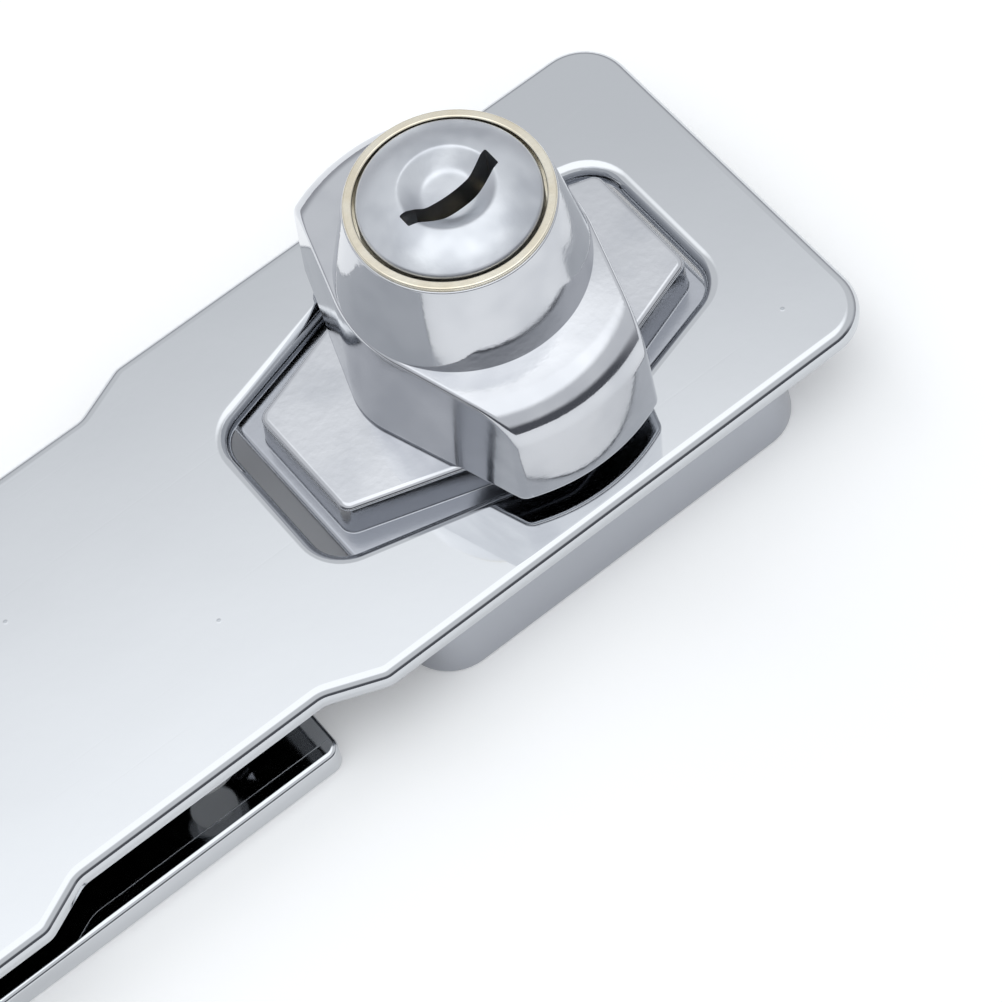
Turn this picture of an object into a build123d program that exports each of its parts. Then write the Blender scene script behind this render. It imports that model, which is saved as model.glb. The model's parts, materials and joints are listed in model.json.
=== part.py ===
from build123d import *
import os
from math import cos, degrees, radians, sin, tan

# Keyed twist-knob hasp lock, millimetres, +Z up.
# The origin is on the knob's axis in the mounting plane. +X runs along the strap from the hinge to
# the lock end, and the knob stands up along +Z.

# Sheet-metal strap
hasp_width = 35.0
sheet = 1.2
rim_depth = 1.6
strap_end_reach = 24.5
strap_corner = 4.2
strap_edge_round = 1.0
waist_inset = 1.9
waist_near_start = 22.0
waist_near_end = 26.6
waist_far_end = 48.0
waist_far_start = 52.0
waist_round = 2.0

# Window in the strap, a hexagon with vertices at mid length
window_shift = -1.3
window_length = 36.4
window_end_width = 14.0
window_mid_width = 24.2
window_corner = 3.0
window_edge_round = 1.1

# Hinge
hinge_reach = 74.2
knuckle_count = 5
knuckle_gap = 0.2
knuckle_relief = 0.3
curl_mouth_angle = 30.0
pin_clearance = 0.05
pin_inset = 0.05
pin_chamfer = 0.4

# Hinge leaf
leaf_end_reach = 27.0
leaf_height = 2.45
leaf_corner = 1.2
leaf_edge_round = 0.5
joggle_length = 3.0
joggle_foot = 1.2
leaf_hole_radius = 1.8
leaf_head_radius = 3.6
leaf_hole_spacing_x = 24.0
leaf_hole_spacing_y = 21.0
leaf_hole_end_margin = 8.7
dimple_wall = 0.9

# Lock base: block and boss, both with the draft of a die casting
base_shift = -0.5
base_length = 35.8
base_height = 5.8
base_corner = 4.0
base_draft = 5.0
base_top_round = 0.5
boss_rise = 1.75
boss_length = 32.4
boss_end_width = 10.7
boss_mid_width = 21.7
boss_corner = 1.0
boss_draft = 3.0
boss_edge_round = 0.5
base_hole_radius = 2.0
base_head_radius = 3.5
base_hole_spacing_x = 25.0
base_hole_spacing_y = 25.4
core_depth = 2.6
core_wall = 2.2
core_land = 2.0
gate_notch_width = 1.2
gate_notch_height = 0.8
gate_notch_depth = 0.8
gate_notch_reach = 7.8

# Knob hub and its retention in the base
hub_radius = 6.5
hub_clearance = 0.05
hub_end_lift = 0.6
recess_radius = 10.0
recess_depth = 3.4
washer_gap = 0.05
thrust_washer_thickness = 0.8
thrust_washer_radius = 9.4
spring_washer_thickness = 0.3
spring_washer_rise = 0.35
spring_washer_radius = 8.8
circlip_thickness = 0.6
circlip_radius = 7.7
circlip_groove_depth = 0.6
circlip_gap_angle = 40.0
circlip_lug_radius = 1.0
circlip_lug_hole = 0.45
hub_core_radius = 3.0
hub_core_depth = 2.6

# Knob body: two lobes below, a cone above
knob_gap = 0.1
shoulder_height = 10.05
lobe_radius = 15.0
lobe_draft = 2.0
shoulder_slope = 4.0
lobe_top_round = 2.7
lobe_bottom_round = 0.3
body_half_width = 10.6
body_half_width_top = 9.7
flank_start = 2.0
flank_start_top = 3.9
flank_start_width = 10.35
flank_start_width_top = 8.95
flank_end_width = 5.5
flank_end_width_top = 5.1
flank_edge_round = 0.35
cone_base_radius = 9.5
cone_height = 7.65
cone_lip = 0.1
cone_top_round = 0.15
knob_floor = 1.9

# Cylinder: shell and plug
shell_radius = 7.3
shell_clearance = 0.02
shell_flange_radius = 7.65
shell_flange_height = 0.35
shell_flange_round = 0.15
shell_counterbore_radius = 6.95
shell_counterbore_depth = 1.75
shell_rear_gap = 1.5
plug_radius = 5.6
plug_clearance = 0.05
plug_head_radius = 6.75
plug_head_gap = 0.06
plug_head_land = 0.1
dome_rise = 1.3
dome_crown = 0.22
dish_radius = 3.5
dish_depth = 1.0
dish_floor_radius = 2.0
keyway_length = 8.0
keyway_width = 1.55
keyway_bow = 0.8
ward_length = 1.4
ward_width = 0.45
plug_rear_gap = 0.25
clip_thickness = 0.5
clip_radius = 6.5
clip_groove_depth = 0.7
clip_gap_angle = 70.0
clip_play = 0.05
shell_pin_radius = 0.7
shell_pin_length = 6.0
shell_pin_clearance = 0.03
shell_pin_angle = 225.0

# Wafers and their springs
wafer_count = 5
wafer_pitch = 2.2
wafer_first_depth = 1.9
wafer_thickness = 1.0
wafer_width = 4.4
wafer_play = 0.05
wafer_travel = 0.9
wafer_tip_gap = 0.25
wafer_window_clearance = 0.2
wafer_cuts = (0.9, 0.3, 0.6, 0.9, 0.3)
lug_length = 1.2
lug_reach = 1.2
spring_length = 2.7
spring_radius = 0.45
spring_wire = 0.11
spring_wire_sides = 6
spring_turns = 4
spring_runs_per_turn = 8
spring_pocket_clearance = 0.14

# Cam, eccentric pin and locking bolt
tail_side = 3.2
tail_clearance = 0.05
cam_radius = 2.8
cam_clearance = 0.08
cam_socket_depth = 1.6
cam_gap = 0.08
cam_pin_radius = 0.8
cam_pin_gap = 0.2
cam_throw = 1.5
yoke_clearance = 0.1
bolt_height = 3.0
bolt_width = 6.4
bolt_back_reach = 4.5
bolt_tip_inset = 0.1
bolt_clearance = 0.08
bolt_roof = 1.0
pocket_clearance = 0.15

# Levels that follow from the sizes above
strap_top = base_height + rim_depth
boss_top = strap_top + boss_rise
barrel_radius = strap_top / 2
pin_radius = barrel_radius - sheet - pin_clearance
knob_bottom = boss_top + knob_gap
shoulder_top = knob_bottom + shoulder_height
cone_top = shoulder_top + cone_height
cavity_floor = knob_bottom + knob_floor
shell_top = cone_top + shell_flange_height
shell_bottom = cavity_floor + shell_rear_gap
head_bottom = shell_top - shell_counterbore_depth + plug_head_gap
plug_bottom = cavity_floor + plug_rear_gap
head_edge_top = shell_top + plug_head_land
dome_top = head_edge_top + dome_rise
bolt_top = knob_bottom - bolt_roof
bolt_bottom = bolt_top - bolt_height
cam_bottom = bolt_top + cam_gap
cam_top = cavity_floor - cam_gap
tail_bottom = cam_top - cam_socket_depth + cam_gap
thrust_washer_top = recess_depth - washer_gap
thrust_washer_bottom = thrust_washer_top - thrust_washer_thickness
spring_washer_top = thrust_washer_bottom - washer_gap
spring_washer_bottom = spring_washer_top - spring_washer_thickness - spring_washer_rise
circlip_top = spring_washer_bottom - washer_gap
circlip_bottom = circlip_top - circlip_thickness

# Small amount by which a cutting tool passes a face
over = 1.0


def disc(radius, low, high):
    """Cylinder about the knob's axis between two levels."""
    return Pos(0, 0, low) * Cylinder(radius, high - low, align=(Align.CENTER, Align.CENTER, Align.MIN))


def slab(x_low, x_high, y_low, y_high, z_low, z_high):
    """Rectangular block between two corners."""
    block = Box(x_high - x_low, y_high - y_low, z_high - z_low, align=(Align.MIN, Align.MIN, Align.MIN))
    return Pos(x_low, y_low, z_low) * block


def hexagon(length, end_width, mid_width, corner):
    """Six-sided plan with blunt ends, widest at mid length, every corner rounded."""
    outline = Polyline(
        (-length / 2, -end_width / 2),
        (0, -mid_width / 2),
        (length / 2, -end_width / 2),
        (length / 2, end_width / 2),
        (0, mid_width / 2),
        (-length / 2, end_width / 2),
        close=True,
    )
    plan = make_face(outline)
    return fillet(plan.vertices(), corner)


def knuckle_spans(first):
    """Ends along Y of every second knuckle, starting with knuckle number first."""
    pitch = hasp_width / knuckle_count
    spans = []
    for index in range(first, knuckle_count, 2):
        low = -hasp_width / 2 + index * pitch
        start = low + (knuckle_gap / 2 if index > 0 else 0)
        end = low + pitch - (knuckle_gap / 2 if index < knuckle_count - 1 else 0)
        spans.append((start, end))
    return spans


def curl(start, end, upper):
    """One rolled knuckle round the pin, open on the side that faces the lock."""
    side = 1 if upper else -1
    ring = Circle(barrel_radius) - Circle(barrel_radius - sheet)
    reach = 2 * barrel_radius
    mouth_drop = reach * tan(radians(curl_mouth_angle))
    mouth = make_face(
        Polyline((0, 0), (0, side * reach), (reach, side * reach), (reach, -side * mouth_drop), close=True)
    )
    section = Plane.XZ * Pos(-hinge_reach, barrel_radius) * (ring - mouth)
    return Pos(0, end, 0) * extrude(section, end - start)


def strap_plan():
    """Plan of the strap up to the knuckles, with the two slanted jogs of its waist."""
    half = hasp_width / 2
    waist = half - waist_inset
    back = -hinge_reach + barrel_radius + knuckle_relief
    side = FilletPolyline(
        (strap_end_reach, 0),
        (strap_end_reach, half),
        (-waist_near_start, half),
        (-waist_near_end, waist),
        (-waist_far_end, waist),
        (-waist_far_start, half),
        (back, half),
        radius=[strap_corner, waist_round, waist_round, waist_round, waist_round],
    )
    half_plan = make_face([side, Line((back, half), (back, 0)), Line((back, 0), (strap_end_reach, 0))])
    return half_plan + mirror(half_plan, about=Plane.XZ)


def make_hasp_strap():
    """Pressed strap: flat top, rim turned down all round, window and three rolled knuckles."""
    plan = strap_plan()
    back = -hinge_reach + barrel_radius + knuckle_relief
    plate = Pos(0, 0, base_height) * extrude(plan, rim_depth)
    rim_edges = plate.faces().sort_by(Axis.Z)[-1].edges().filter_by(lambda edge: edge.center().X > back + over)
    plate = fillet(rim_edges, strap_edge_round)
    hollow = offset(plan, -sheet, kind=Kind.INTERSECTION)
    plate -= Pos(0, 0, base_height) * extrude(hollow, rim_depth - sheet)
    plate -= slab(
        back - over,
        back + 2 * over,
        -hasp_width / 2 + sheet,
        hasp_width / 2 - sheet,
        base_height - over,
        strap_top - sheet,
    )
    window = hexagon(window_length, window_end_width, window_mid_width, window_corner)
    plate -= Pos(window_shift, 0, base_height - over) * extrude(window, rim_depth + 2 * over)
    window_reach = window_length / 2 + over
    rim_of_window = (
        plate.faces()
        .sort_by(Axis.Z)[-1]
        .edges()
        .filter_by(lambda edge: abs(edge.center().X - window_shift) < window_reach)
        .filter_by(lambda edge: abs(edge.center().Y) < window_mid_width / 2 + over / 2)
    )
    plate = fillet(rim_of_window, window_edge_round)
    for start, end in knuckle_spans(0):
        plate += slab(-hinge_reach, back + sheet, start, end, strap_top - sheet, strap_top)
        plate += curl(start, end, True)
    return plate


def leaf_hole_places():
    """Centres of the four screw holes of the leaf."""
    near_x = -leaf_end_reach - leaf_hole_end_margin
    places = []
    for x in (near_x, near_x - leaf_hole_spacing_x):
        for y in (-leaf_hole_spacing_y / 2, leaf_hole_spacing_y / 2):
            places.append((x, y))
    return places


def make_hinge_leaf():
    """Fixed leaf: shallow pressed tray, dimpled screw holes, a joggle down to two rolled knuckles."""
    half = hasp_width / 2
    back = -hinge_reach + barrel_radius + knuckle_relief
    tray_back = back + joggle_foot + joggle_length
    length = -leaf_end_reach - tray_back
    plan = Pos(-leaf_end_reach - length / 2, 0) * Rectangle(length, hasp_width)
    end_corners = plan.vertices().group_by(Axis.X)[-1]
    plan = fillet(end_corners, leaf_corner)
    tray = extrude(plan, leaf_height)
    edges = tray.faces().sort_by(Axis.Z)[-1].edges().filter_by(lambda edge: edge.center().X > tray_back + over)
    tray = fillet(edges, leaf_edge_round)
    hollow_depth = leaf_height - sheet
    tray -= slab(tray_back - over, -leaf_end_reach - sheet, -half + sheet, half - sheet, -over, hollow_depth)
    step = make_face(
        Polyline(
            (tray_back, leaf_height),
            (back + joggle_foot, sheet),
            (back, sheet),
            (back, 0),
            (back + joggle_foot, 0),
            (tray_back, hollow_depth),
            close=True,
        )
    )
    joggle = Pos(0, half, 0) * extrude(Plane.XZ * step, hasp_width)
    leaf = tray + joggle
    for start, end in knuckle_spans(1):
        leaf += slab(-hinge_reach, back + sheet, start, end, 0, sheet)
        leaf += curl(start, end, False)
    dimple_low = leaf_hole_radius + dimple_wall
    dimple_high = leaf_head_radius + dimple_wall
    align_low = (Align.CENTER, Align.CENTER, Align.MIN)
    for x, y in leaf_hole_places():
        head_depth = leaf_head_radius - leaf_hole_radius
        leaf += Pos(x, y, 0) * Cone(dimple_low, dimple_high, hollow_depth + sheet / 2, align=align_low)
        leaf -= Pos(x, y, -over) * Cylinder(leaf_hole_radius, leaf_height + 2 * over, align=align_low)
        leaf -= Pos(x, y, leaf_height - head_depth) * Cone(
            leaf_hole_radius, leaf_head_radius, head_depth, align=align_low
        )
    return leaf


def make_hinge_pin():
    """Plain pin through all the knuckles, its ends chamfered."""
    length = hasp_width - 2 * pin_inset
    pin = Pos(-hinge_reach, 0, barrel_radius) * Rot(90, 0, 0) * Cylinder(pin_radius, length)
    ends = pin.edges().filter_by(GeomType.CIRCLE)
    return chamfer(ends, pin_chamfer)


def base_hole_places():
    """Centres of the four screw holes of the base, about the knob's axis."""
    places = []
    for x in (-base_hole_spacing_x / 2, base_hole_spacing_x / 2):
        for y in (-base_hole_spacing_y / 2, base_hole_spacing_y / 2):
            places.append((x, y))
    return places


def bolt_pocket():
    """Pocket in the base bore that the locking bolt enters, on the +X side."""
    reach = hub_radius + bolt_travel() + pocket_clearance
    half = bolt_width / 2 + pocket_clearance
    return slab(0, reach, -half, half, bolt_bottom - pocket_clearance, bolt_top + pocket_clearance)


def bolt_travel():
    """Travel of the bolt while the eccentric pin turns from 45 degrees before to 45 degrees past."""
    return 2 * cam_throw * sin(radians(45))


def make_lock_base():
    """Die-cast base: drafted block and boss, hub bore with two bolt pockets, cored underside."""
    align_low = (Align.CENTER, Align.CENTER, Align.MIN)
    block = extrude(RectangleRounded(base_length, hasp_width, base_corner), base_height, taper=base_draft)
    block = fillet(block.faces().sort_by(Axis.Z)[-1].edges(), base_top_round)
    boss_plan = hexagon(boss_length, boss_end_width, boss_mid_width, boss_corner)
    spread = (boss_top - base_height) * tan(radians(boss_draft))
    foot_plan = offset(boss_plan, spread)
    boss = loft([Pos(0, 0, base_height) * foot_plan, Pos(0, 0, boss_top) * boss_plan], ruled=True)
    boss = fillet(boss.faces().sort_by(Axis.Z)[-1].edges(), boss_edge_round)
    base = Pos(base_shift, 0, 0) * (block + boss)
    core = Pos(base_shift, 0, 0) * extrude(
        RectangleRounded(base_length - 2 * core_wall, hasp_width - 2 * core_wall, base_corner - core_wall),
        core_depth,
    )
    core -= disc(recess_radius + core_land, 0, core_depth)
    for x, y in base_hole_places():
        core -= Pos(x, y, 0) * Cylinder(base_head_radius, core_depth, align=align_low)
    base -= core
    head_depth = base_head_radius - base_hole_radius
    for x, y in base_hole_places():
        base -= Pos(x, y, -over) * Cylinder(base_hole_radius, base_height + 2 * over, align=align_low)
        base -= Pos(x, y, base_height - head_depth) * Cone(
            base_hole_radius, base_head_radius, head_depth, align=align_low
        )
    base -= disc(recess_radius, -over, recess_depth)
    base -= disc(hub_radius + hub_clearance, 0, boss_top + over)
    base -= bolt_pocket()
    base -= Rot(0, 0, 90) * bolt_pocket()
    base -= slab(
        -gate_notch_reach - gate_notch_width / 2,
        -gate_notch_reach + gate_notch_width / 2,
        -hasp_width / 2 - over,
        -hasp_width / 2 + gate_notch_depth,
        -over,
        gate_notch_height,
    )
    return base


def knob_plan(half_width, start_reach, start_width, end_width):
    """Plan of the knob's flanks at one level: rounded waist, one flat a side, open past the lobes."""
    end_reach = lobe_radius + over
    waist = ThreePointArc((start_width, -start_reach), (half_width, 0), (start_width, start_reach))
    upper = Line((start_width, start_reach), (end_width, end_reach))
    lower = Line((start_width, -start_reach), (end_width, -end_reach))
    right = [lower, waist, upper]
    left = [mirror(piece, about=Plane.YZ) for piece in right]
    far = Line((end_width, end_reach), (-end_width, end_reach))
    near = Line((end_width, -end_reach), (-end_width, -end_reach))
    return make_face(right + left + [far, near])


def lobe_profile():
    """Half section of the turned form that ends the lobes, from the axis outwards."""
    draft = tan(radians(lobe_draft))
    slope = tan(radians(shoulder_slope))
    fall = (lobe_radius - shoulder_height * draft - cone_base_radius) * slope / (1 - draft * slope)
    section = Polyline(
        (0, knob_bottom),
        (lobe_radius, knob_bottom),
        (lobe_radius - (shoulder_height - fall) * draft, shoulder_top - fall),
        (cone_base_radius, shoulder_top),
        (0, shoulder_top),
        close=True,
    )
    face = make_face(section)
    outer = face.vertices().filter_by(lambda corner: corner.X > cone_base_radius + over)
    face = fillet(outer.sort_by(Axis.Y)[-1], lobe_top_round)
    bottom_corner = face.vertices().filter_by(lambda corner: corner.X > lobe_radius - over / 2)
    face = fillet(bottom_corner.sort_by(Axis.Y)[0], lobe_bottom_round)
    return Plane.XZ * face


def is_lobe_corner(edge):
    """True for the four upright edges where a flank meets the side of a lobe."""
    middle = edge.center()
    rise = abs((edge @ 1).Z - (edge @ 0).Z)
    return rise > shoulder_height / 2 and abs(middle.Y) > body_half_width / 2


def make_knob_body():
    """Die-cast knob: lobed body, cone, hub through the base, cylinder cavity and bolt slot."""
    low_plan = knob_plan(body_half_width, flank_start, flank_start_width, flank_end_width)
    high_plan = knob_plan(body_half_width_top, flank_start_top, flank_start_width_top, flank_end_width_top)
    flanks = loft([Pos(0, 0, knob_bottom) * low_plan, Pos(0, 0, shoulder_top) * high_plan], ruled=True)
    lobes = revolve(lobe_profile(), Axis.Z)
    body = flanks & lobes
    corners = body.edges().filter_by(is_lobe_corner)
    body = fillet(corners, flank_edge_round)
    cone_radius = shell_flange_radius + cone_lip
    align_low = (Align.CENTER, Align.CENTER, Align.MIN)
    cone = Pos(0, 0, shoulder_top) * Cone(cone_base_radius, cone_radius, cone_height, align=align_low)
    cone = fillet(cone.edges().sort_by(Axis.Z)[-1], cone_top_round)
    knob = body + cone + disc(hub_radius, hub_end_lift, knob_bottom)
    knob -= disc(shell_radius + shell_clearance, cavity_floor, cone_top + over)
    knob -= disc(cam_radius + cam_clearance, bolt_top, cavity_floor + over)
    knob -= slab(
        -bolt_back_reach - bolt_clearance,
        hub_radius + over,
        -bolt_width / 2 - bolt_clearance,
        bolt_width / 2 + bolt_clearance,
        bolt_bottom - bolt_clearance,
        bolt_top + bolt_clearance,
    )
    knob -= disc(hub_core_radius, 0, hub_end_lift + hub_core_depth)
    groove = disc(hub_radius + over, circlip_bottom, circlip_top)
    groove -= disc(hub_radius - circlip_groove_depth, 0, knob_bottom)
    knob -= groove
    knob -= shell_pin_hole(cavity_floor)
    return knob


def shell_pin_hole(low):
    """Hole shared by the shell and the knob for the shell's pin."""
    radius = shell_pin_radius + shell_pin_clearance
    hole = Cylinder(radius, shell_pin_length + shell_rear_gap, align=(Align.CENTER, Align.CENTER, Align.MIN))
    return Rot(0, 0, shell_pin_angle) * Pos(shell_radius, 0, low) * hole


def make_shell_pin():
    """Dowel that keeps the shell from turning in the knob."""
    pin = Cylinder(shell_pin_radius, shell_pin_length, align=(Align.CENTER, Align.CENTER, Align.MIN))
    return Rot(0, 0, shell_pin_angle) * Pos(shell_radius, 0, shell_bottom) * pin


def wafer_levels():
    """Mid level of each wafer, from the front of the plug to its rear."""
    front = head_bottom - wafer_first_depth
    return [front - index * wafer_pitch for index in range(wafer_count)]


def make_cylinder_shell():
    """Brass shell: flanged tube, counterbored for the plug's head, with four broached wafer grooves."""
    shell = disc(shell_radius, shell_bottom, shell_top)
    flange = disc(shell_flange_radius, cone_top, shell_top)
    flange = fillet(flange.edges().sort_by(Axis.Z)[-1], shell_flange_round)
    shell += flange
    shell -= disc(plug_radius + plug_clearance, shell_bottom - over, shell_top + over)
    shell -= disc(shell_counterbore_radius, shell_top - shell_counterbore_depth, shell_top + over)
    levels = wafer_levels()
    low = levels[-1] - wafer_thickness
    high = levels[0] + wafer_thickness
    reach = plug_radius + wafer_travel + wafer_tip_gap
    half = wafer_width / 2 + wafer_tip_gap
    cross = slab(-reach, reach, -half, half, low, high)
    cross += Rot(0, 0, 90) * slab(-reach, reach, -half, half, low, high)
    shell -= cross & disc(reach, low, high)
    return shell - shell_pin_hole(shell_bottom - over)


def keyway_plan():
    """Bowed keyway with a small ward at its hinge end."""
    half = keyway_length / 2
    side = keyway_width / 2
    upper = ThreePointArc((-half, side), (0, side - keyway_bow), (half, side))
    lower = ThreePointArc((-half, -side), (0, -side - keyway_bow), (half, -side))
    left = Line((-half, -side), (-half, side))
    right = Line((half, -side), (half, side))
    slot = make_face([upper, right, lower, left])
    ward = Pos(-half + ward_length / 2, side) * Rectangle(ward_length, 2 * ward_width)
    return slot - ward


def wafer_pocket(level):
    """Slot through the plug for one wafer, with room for its lug and spring."""
    reach = plug_radius + over
    half = wafer_width / 2 + wafer_play
    low = level - wafer_thickness / 2 - wafer_play
    high = level + wafer_thickness / 2 + wafer_play
    pocket = slab(-reach, reach, -half, half, low, high)
    lug_side = wafer_width / 2 + lug_reach + wafer_play
    lug_end = lug_length / 2 + wafer_travel + wafer_play
    pocket += slab(-lug_length / 2 - wafer_play, lug_end, 0, lug_side, low, high)
    bore = Cylinder(
        spring_radius + spring_wire + spring_pocket_clearance,
        spring_length + 2 * wafer_play,
        align=(Align.CENTER, Align.CENTER, Align.MAX),
    )
    spring_side = wafer_width / 2 + lug_reach / 2
    pocket += Pos(-lug_length / 2, spring_side, level) * Rot(0, 90, 0) * bore
    return pocket


def make_cylinder_plug():
    """Brass plug: domed and dished head, keyway, wafer slots, clip groove and square tail."""
    low_dish = dome_top - dish_depth
    section = make_face(
        [
            Line((0, plug_bottom), (plug_radius, plug_bottom)),
            Line((plug_radius, plug_bottom), (plug_radius, head_bottom)),
            Line((plug_radius, head_bottom), (plug_head_radius, head_bottom)),
            Line((plug_head_radius, head_bottom), (plug_head_radius, head_edge_top)),
            SagittaArc((dish_radius, dome_top), (plug_head_radius, head_edge_top), dome_crown),
            Line((dish_radius, dome_top), (dish_floor_radius, low_dish)),
            Line((dish_floor_radius, low_dish), (0, low_dish)),
            Line((0, low_dish), (0, plug_bottom)),
        ]
    )
    plug = revolve(Plane.XZ * section, Axis.Z)
    plug += slab(-tail_side / 2, tail_side / 2, -tail_side / 2, tail_side / 2, tail_bottom, plug_bottom)
    groove_low = shell_bottom - clip_play - clip_thickness
    groove = disc(plug_radius + over, groove_low, shell_bottom - clip_play)
    groove -= disc(plug_radius - clip_groove_depth, plug_bottom - over, shell_top)
    plug -= groove
    slot = extrude(keyway_plan(), dome_top - shell_bottom + over)
    plug -= Pos(0, 0, shell_bottom) * slot
    for level in wafer_levels():
        plug -= wafer_pocket(level)
    return plug


def make_wafer(level, cut):
    """Stamped wafer, ends turned to the plug, window for the blade, one lug for its spring."""
    plate = Circle(plug_radius - wafer_play) & Rectangle(2 * plug_radius, wafer_width)
    window_low = -keyway_length / 2 + cut
    window_high = keyway_length / 2 + wafer_window_clearance
    side = keyway_width / 2
    window_width = keyway_width + keyway_bow + 2 * wafer_window_clearance
    window = Pos((window_low + window_high) / 2, side + wafer_window_clearance - window_width / 2) * Rectangle(
        window_high - window_low, window_width
    )
    lug = Pos(0, (wafer_width + lug_reach) / 2) * Rectangle(lug_length, lug_reach)
    return Pos(0, 0, level - wafer_thickness / 2) * extrude(plate - window + lug, wafer_thickness)


def make_wafer_spring(level):
    """Small coil spring that lies behind a wafer's lug, its wire in short straight runs."""
    rise = spring_length - 2 * spring_wire
    runs = spring_turns * spring_runs_per_turn
    path = Helix(rise / spring_turns, rise, spring_radius)
    sections = []
    for run in range(runs + 1):
        point = path @ (run / runs)
        outwards = Vector(point.X, point.Y, 0)
        place = Plane(point, x_dir=outwards, z_dir=path % (run / runs))
        sections.append(place * RegularPolygon(spring_wire, spring_wire_sides))
    coil = loft(sections, ruled=True)
    start = -lug_length / 2 - spring_length - wafer_play + spring_wire
    return Pos(start, wafer_width / 2 + lug_reach / 2, level) * Rot(0, 90, 0) * coil


def make_plug_clip():
    """Flat open clip in the plug's rear groove, behind the shell."""
    inner = plug_radius - clip_groove_depth + clip_play
    low = shell_bottom - clip_play - clip_thickness
    ring = disc(clip_radius, low, low + clip_thickness) - disc(inner, low, low + clip_thickness)
    reach = 2 * clip_radius
    rise = reach * tan(radians(clip_gap_angle / 2))
    gap = make_face(Polyline((0, 0), (reach, -rise), (reach, rise), close=True))
    return ring - Pos(0, 0, low) * extrude(gap, clip_thickness)


def cam_pin_place():
    """Rest place of the eccentric pin, 45 degrees before mid travel."""
    return (-cam_throw * sin(radians(45)), -cam_throw * cos(radians(45)))


def make_drive_cam():
    """Cam turned by the plug's square tail, with an eccentric pin below."""
    cam = disc(cam_radius, cam_bottom, cam_top)
    half = tail_side / 2 + tail_clearance
    cam -= slab(-half, half, -half, half, tail_bottom - cam_gap, cam_top + over)
    x, y = cam_pin_place()
    pin_low = bolt_bottom + cam_pin_gap
    pin = Cylinder(cam_pin_radius, cam_bottom - pin_low, align=(Align.CENTER, Align.CENTER, Align.MIN))
    return cam + Pos(x, y, pin_low) * pin


def make_locking_bolt():
    """Sliding bolt with a cross slot for the eccentric pin, its tip turned to the hub."""
    half = bolt_width / 2
    bolt = slab(-bolt_back_reach, hub_radius, -half, half, bolt_bottom, bolt_top)
    bolt &= disc(hub_radius - bolt_tip_inset, bolt_bottom, bolt_top)
    x, y = cam_pin_place()
    reach = cam_pin_radius + yoke_clearance
    slot = slab(x - reach, x + reach, -cam_throw - reach, y + reach, bolt_bottom - over, bolt_top + over)
    return bolt - slot


def make_thrust_washer():
    """Flat washer under the base's recess."""
    outer = disc(thrust_washer_radius, thrust_washer_bottom, thrust_washer_top)
    return outer - disc(hub_radius + hub_clearance, thrust_washer_bottom, thrust_washer_top)


def make_spring_washer():
    """Dished spring washer between the flat washer and the circlip."""
    inner = hub_radius + hub_clearance
    section = make_face(
        Polyline(
            (inner, spring_washer_bottom + spring_washer_thickness),
            (spring_washer_radius, spring_washer_top),
            (spring_washer_radius, spring_washer_top - spring_washer_thickness),
            (inner, spring_washer_bottom),
            close=True,
        )
    )
    return revolve(Plane.XZ * section, Axis.Z)


def make_hub_circlip():
    """External circlip in the hub's groove, with two lugs for the pliers."""
    inner = hub_radius - circlip_groove_depth + hub_clearance
    ring = Circle(circlip_radius) - Circle(inner)
    reach = 2 * circlip_radius
    rise = reach * tan(radians(circlip_gap_angle / 2))
    ring -= make_face(Polyline((0, 0), (reach, -rise), (reach, rise), close=True))
    lug_angle = circlip_gap_angle / 2 + degrees(circlip_lug_radius / circlip_radius)
    for turn in (-lug_angle, lug_angle):
        place = Rot(0, 0, turn) * Pos((inner + circlip_radius) / 2 + circlip_lug_hole, 0)
        ring += place * Circle(circlip_lug_radius)
        ring -= place * Circle(circlip_lug_hole)
    return Pos(0, 0, circlip_bottom) * extrude(ring, circlip_thickness)


pieces = {
    "hasp_strap": make_hasp_strap(),
    "hinge_leaf": make_hinge_leaf(),
    "hinge_pin": make_hinge_pin(),
    "lock_base": make_lock_base(),
    "knob_body": make_knob_body(),
    "cylinder_shell": make_cylinder_shell(),
    "cylinder_plug": make_cylinder_plug(),
    "plug_clip": make_plug_clip(),
    "shell_pin": make_shell_pin(),
    "drive_cam": make_drive_cam(),
    "locking_bolt": make_locking_bolt(),
    "thrust_washer": make_thrust_washer(),
    "spring_washer": make_spring_washer(),
    "hub_circlip": make_hub_circlip(),
}
for number, (level, cut) in enumerate(zip(wafer_levels(), wafer_cuts), start=1):
    pieces[f"wafer_{number}"] = make_wafer(level, cut)
    pieces[f"wafer_spring_{number}"] = make_wafer_spring(level)

os.makedirs("parts", exist_ok=True)
for name, piece in pieces.items():
    export_step(piece, f"parts/{name}.step")
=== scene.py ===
import sys
import json
import logging
import math
from dataclasses import dataclass
from enum import Enum

import bpy
import numpy as np
from mathutils import Matrix
from mathutils.geometry import tessellate_polygon


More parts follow.
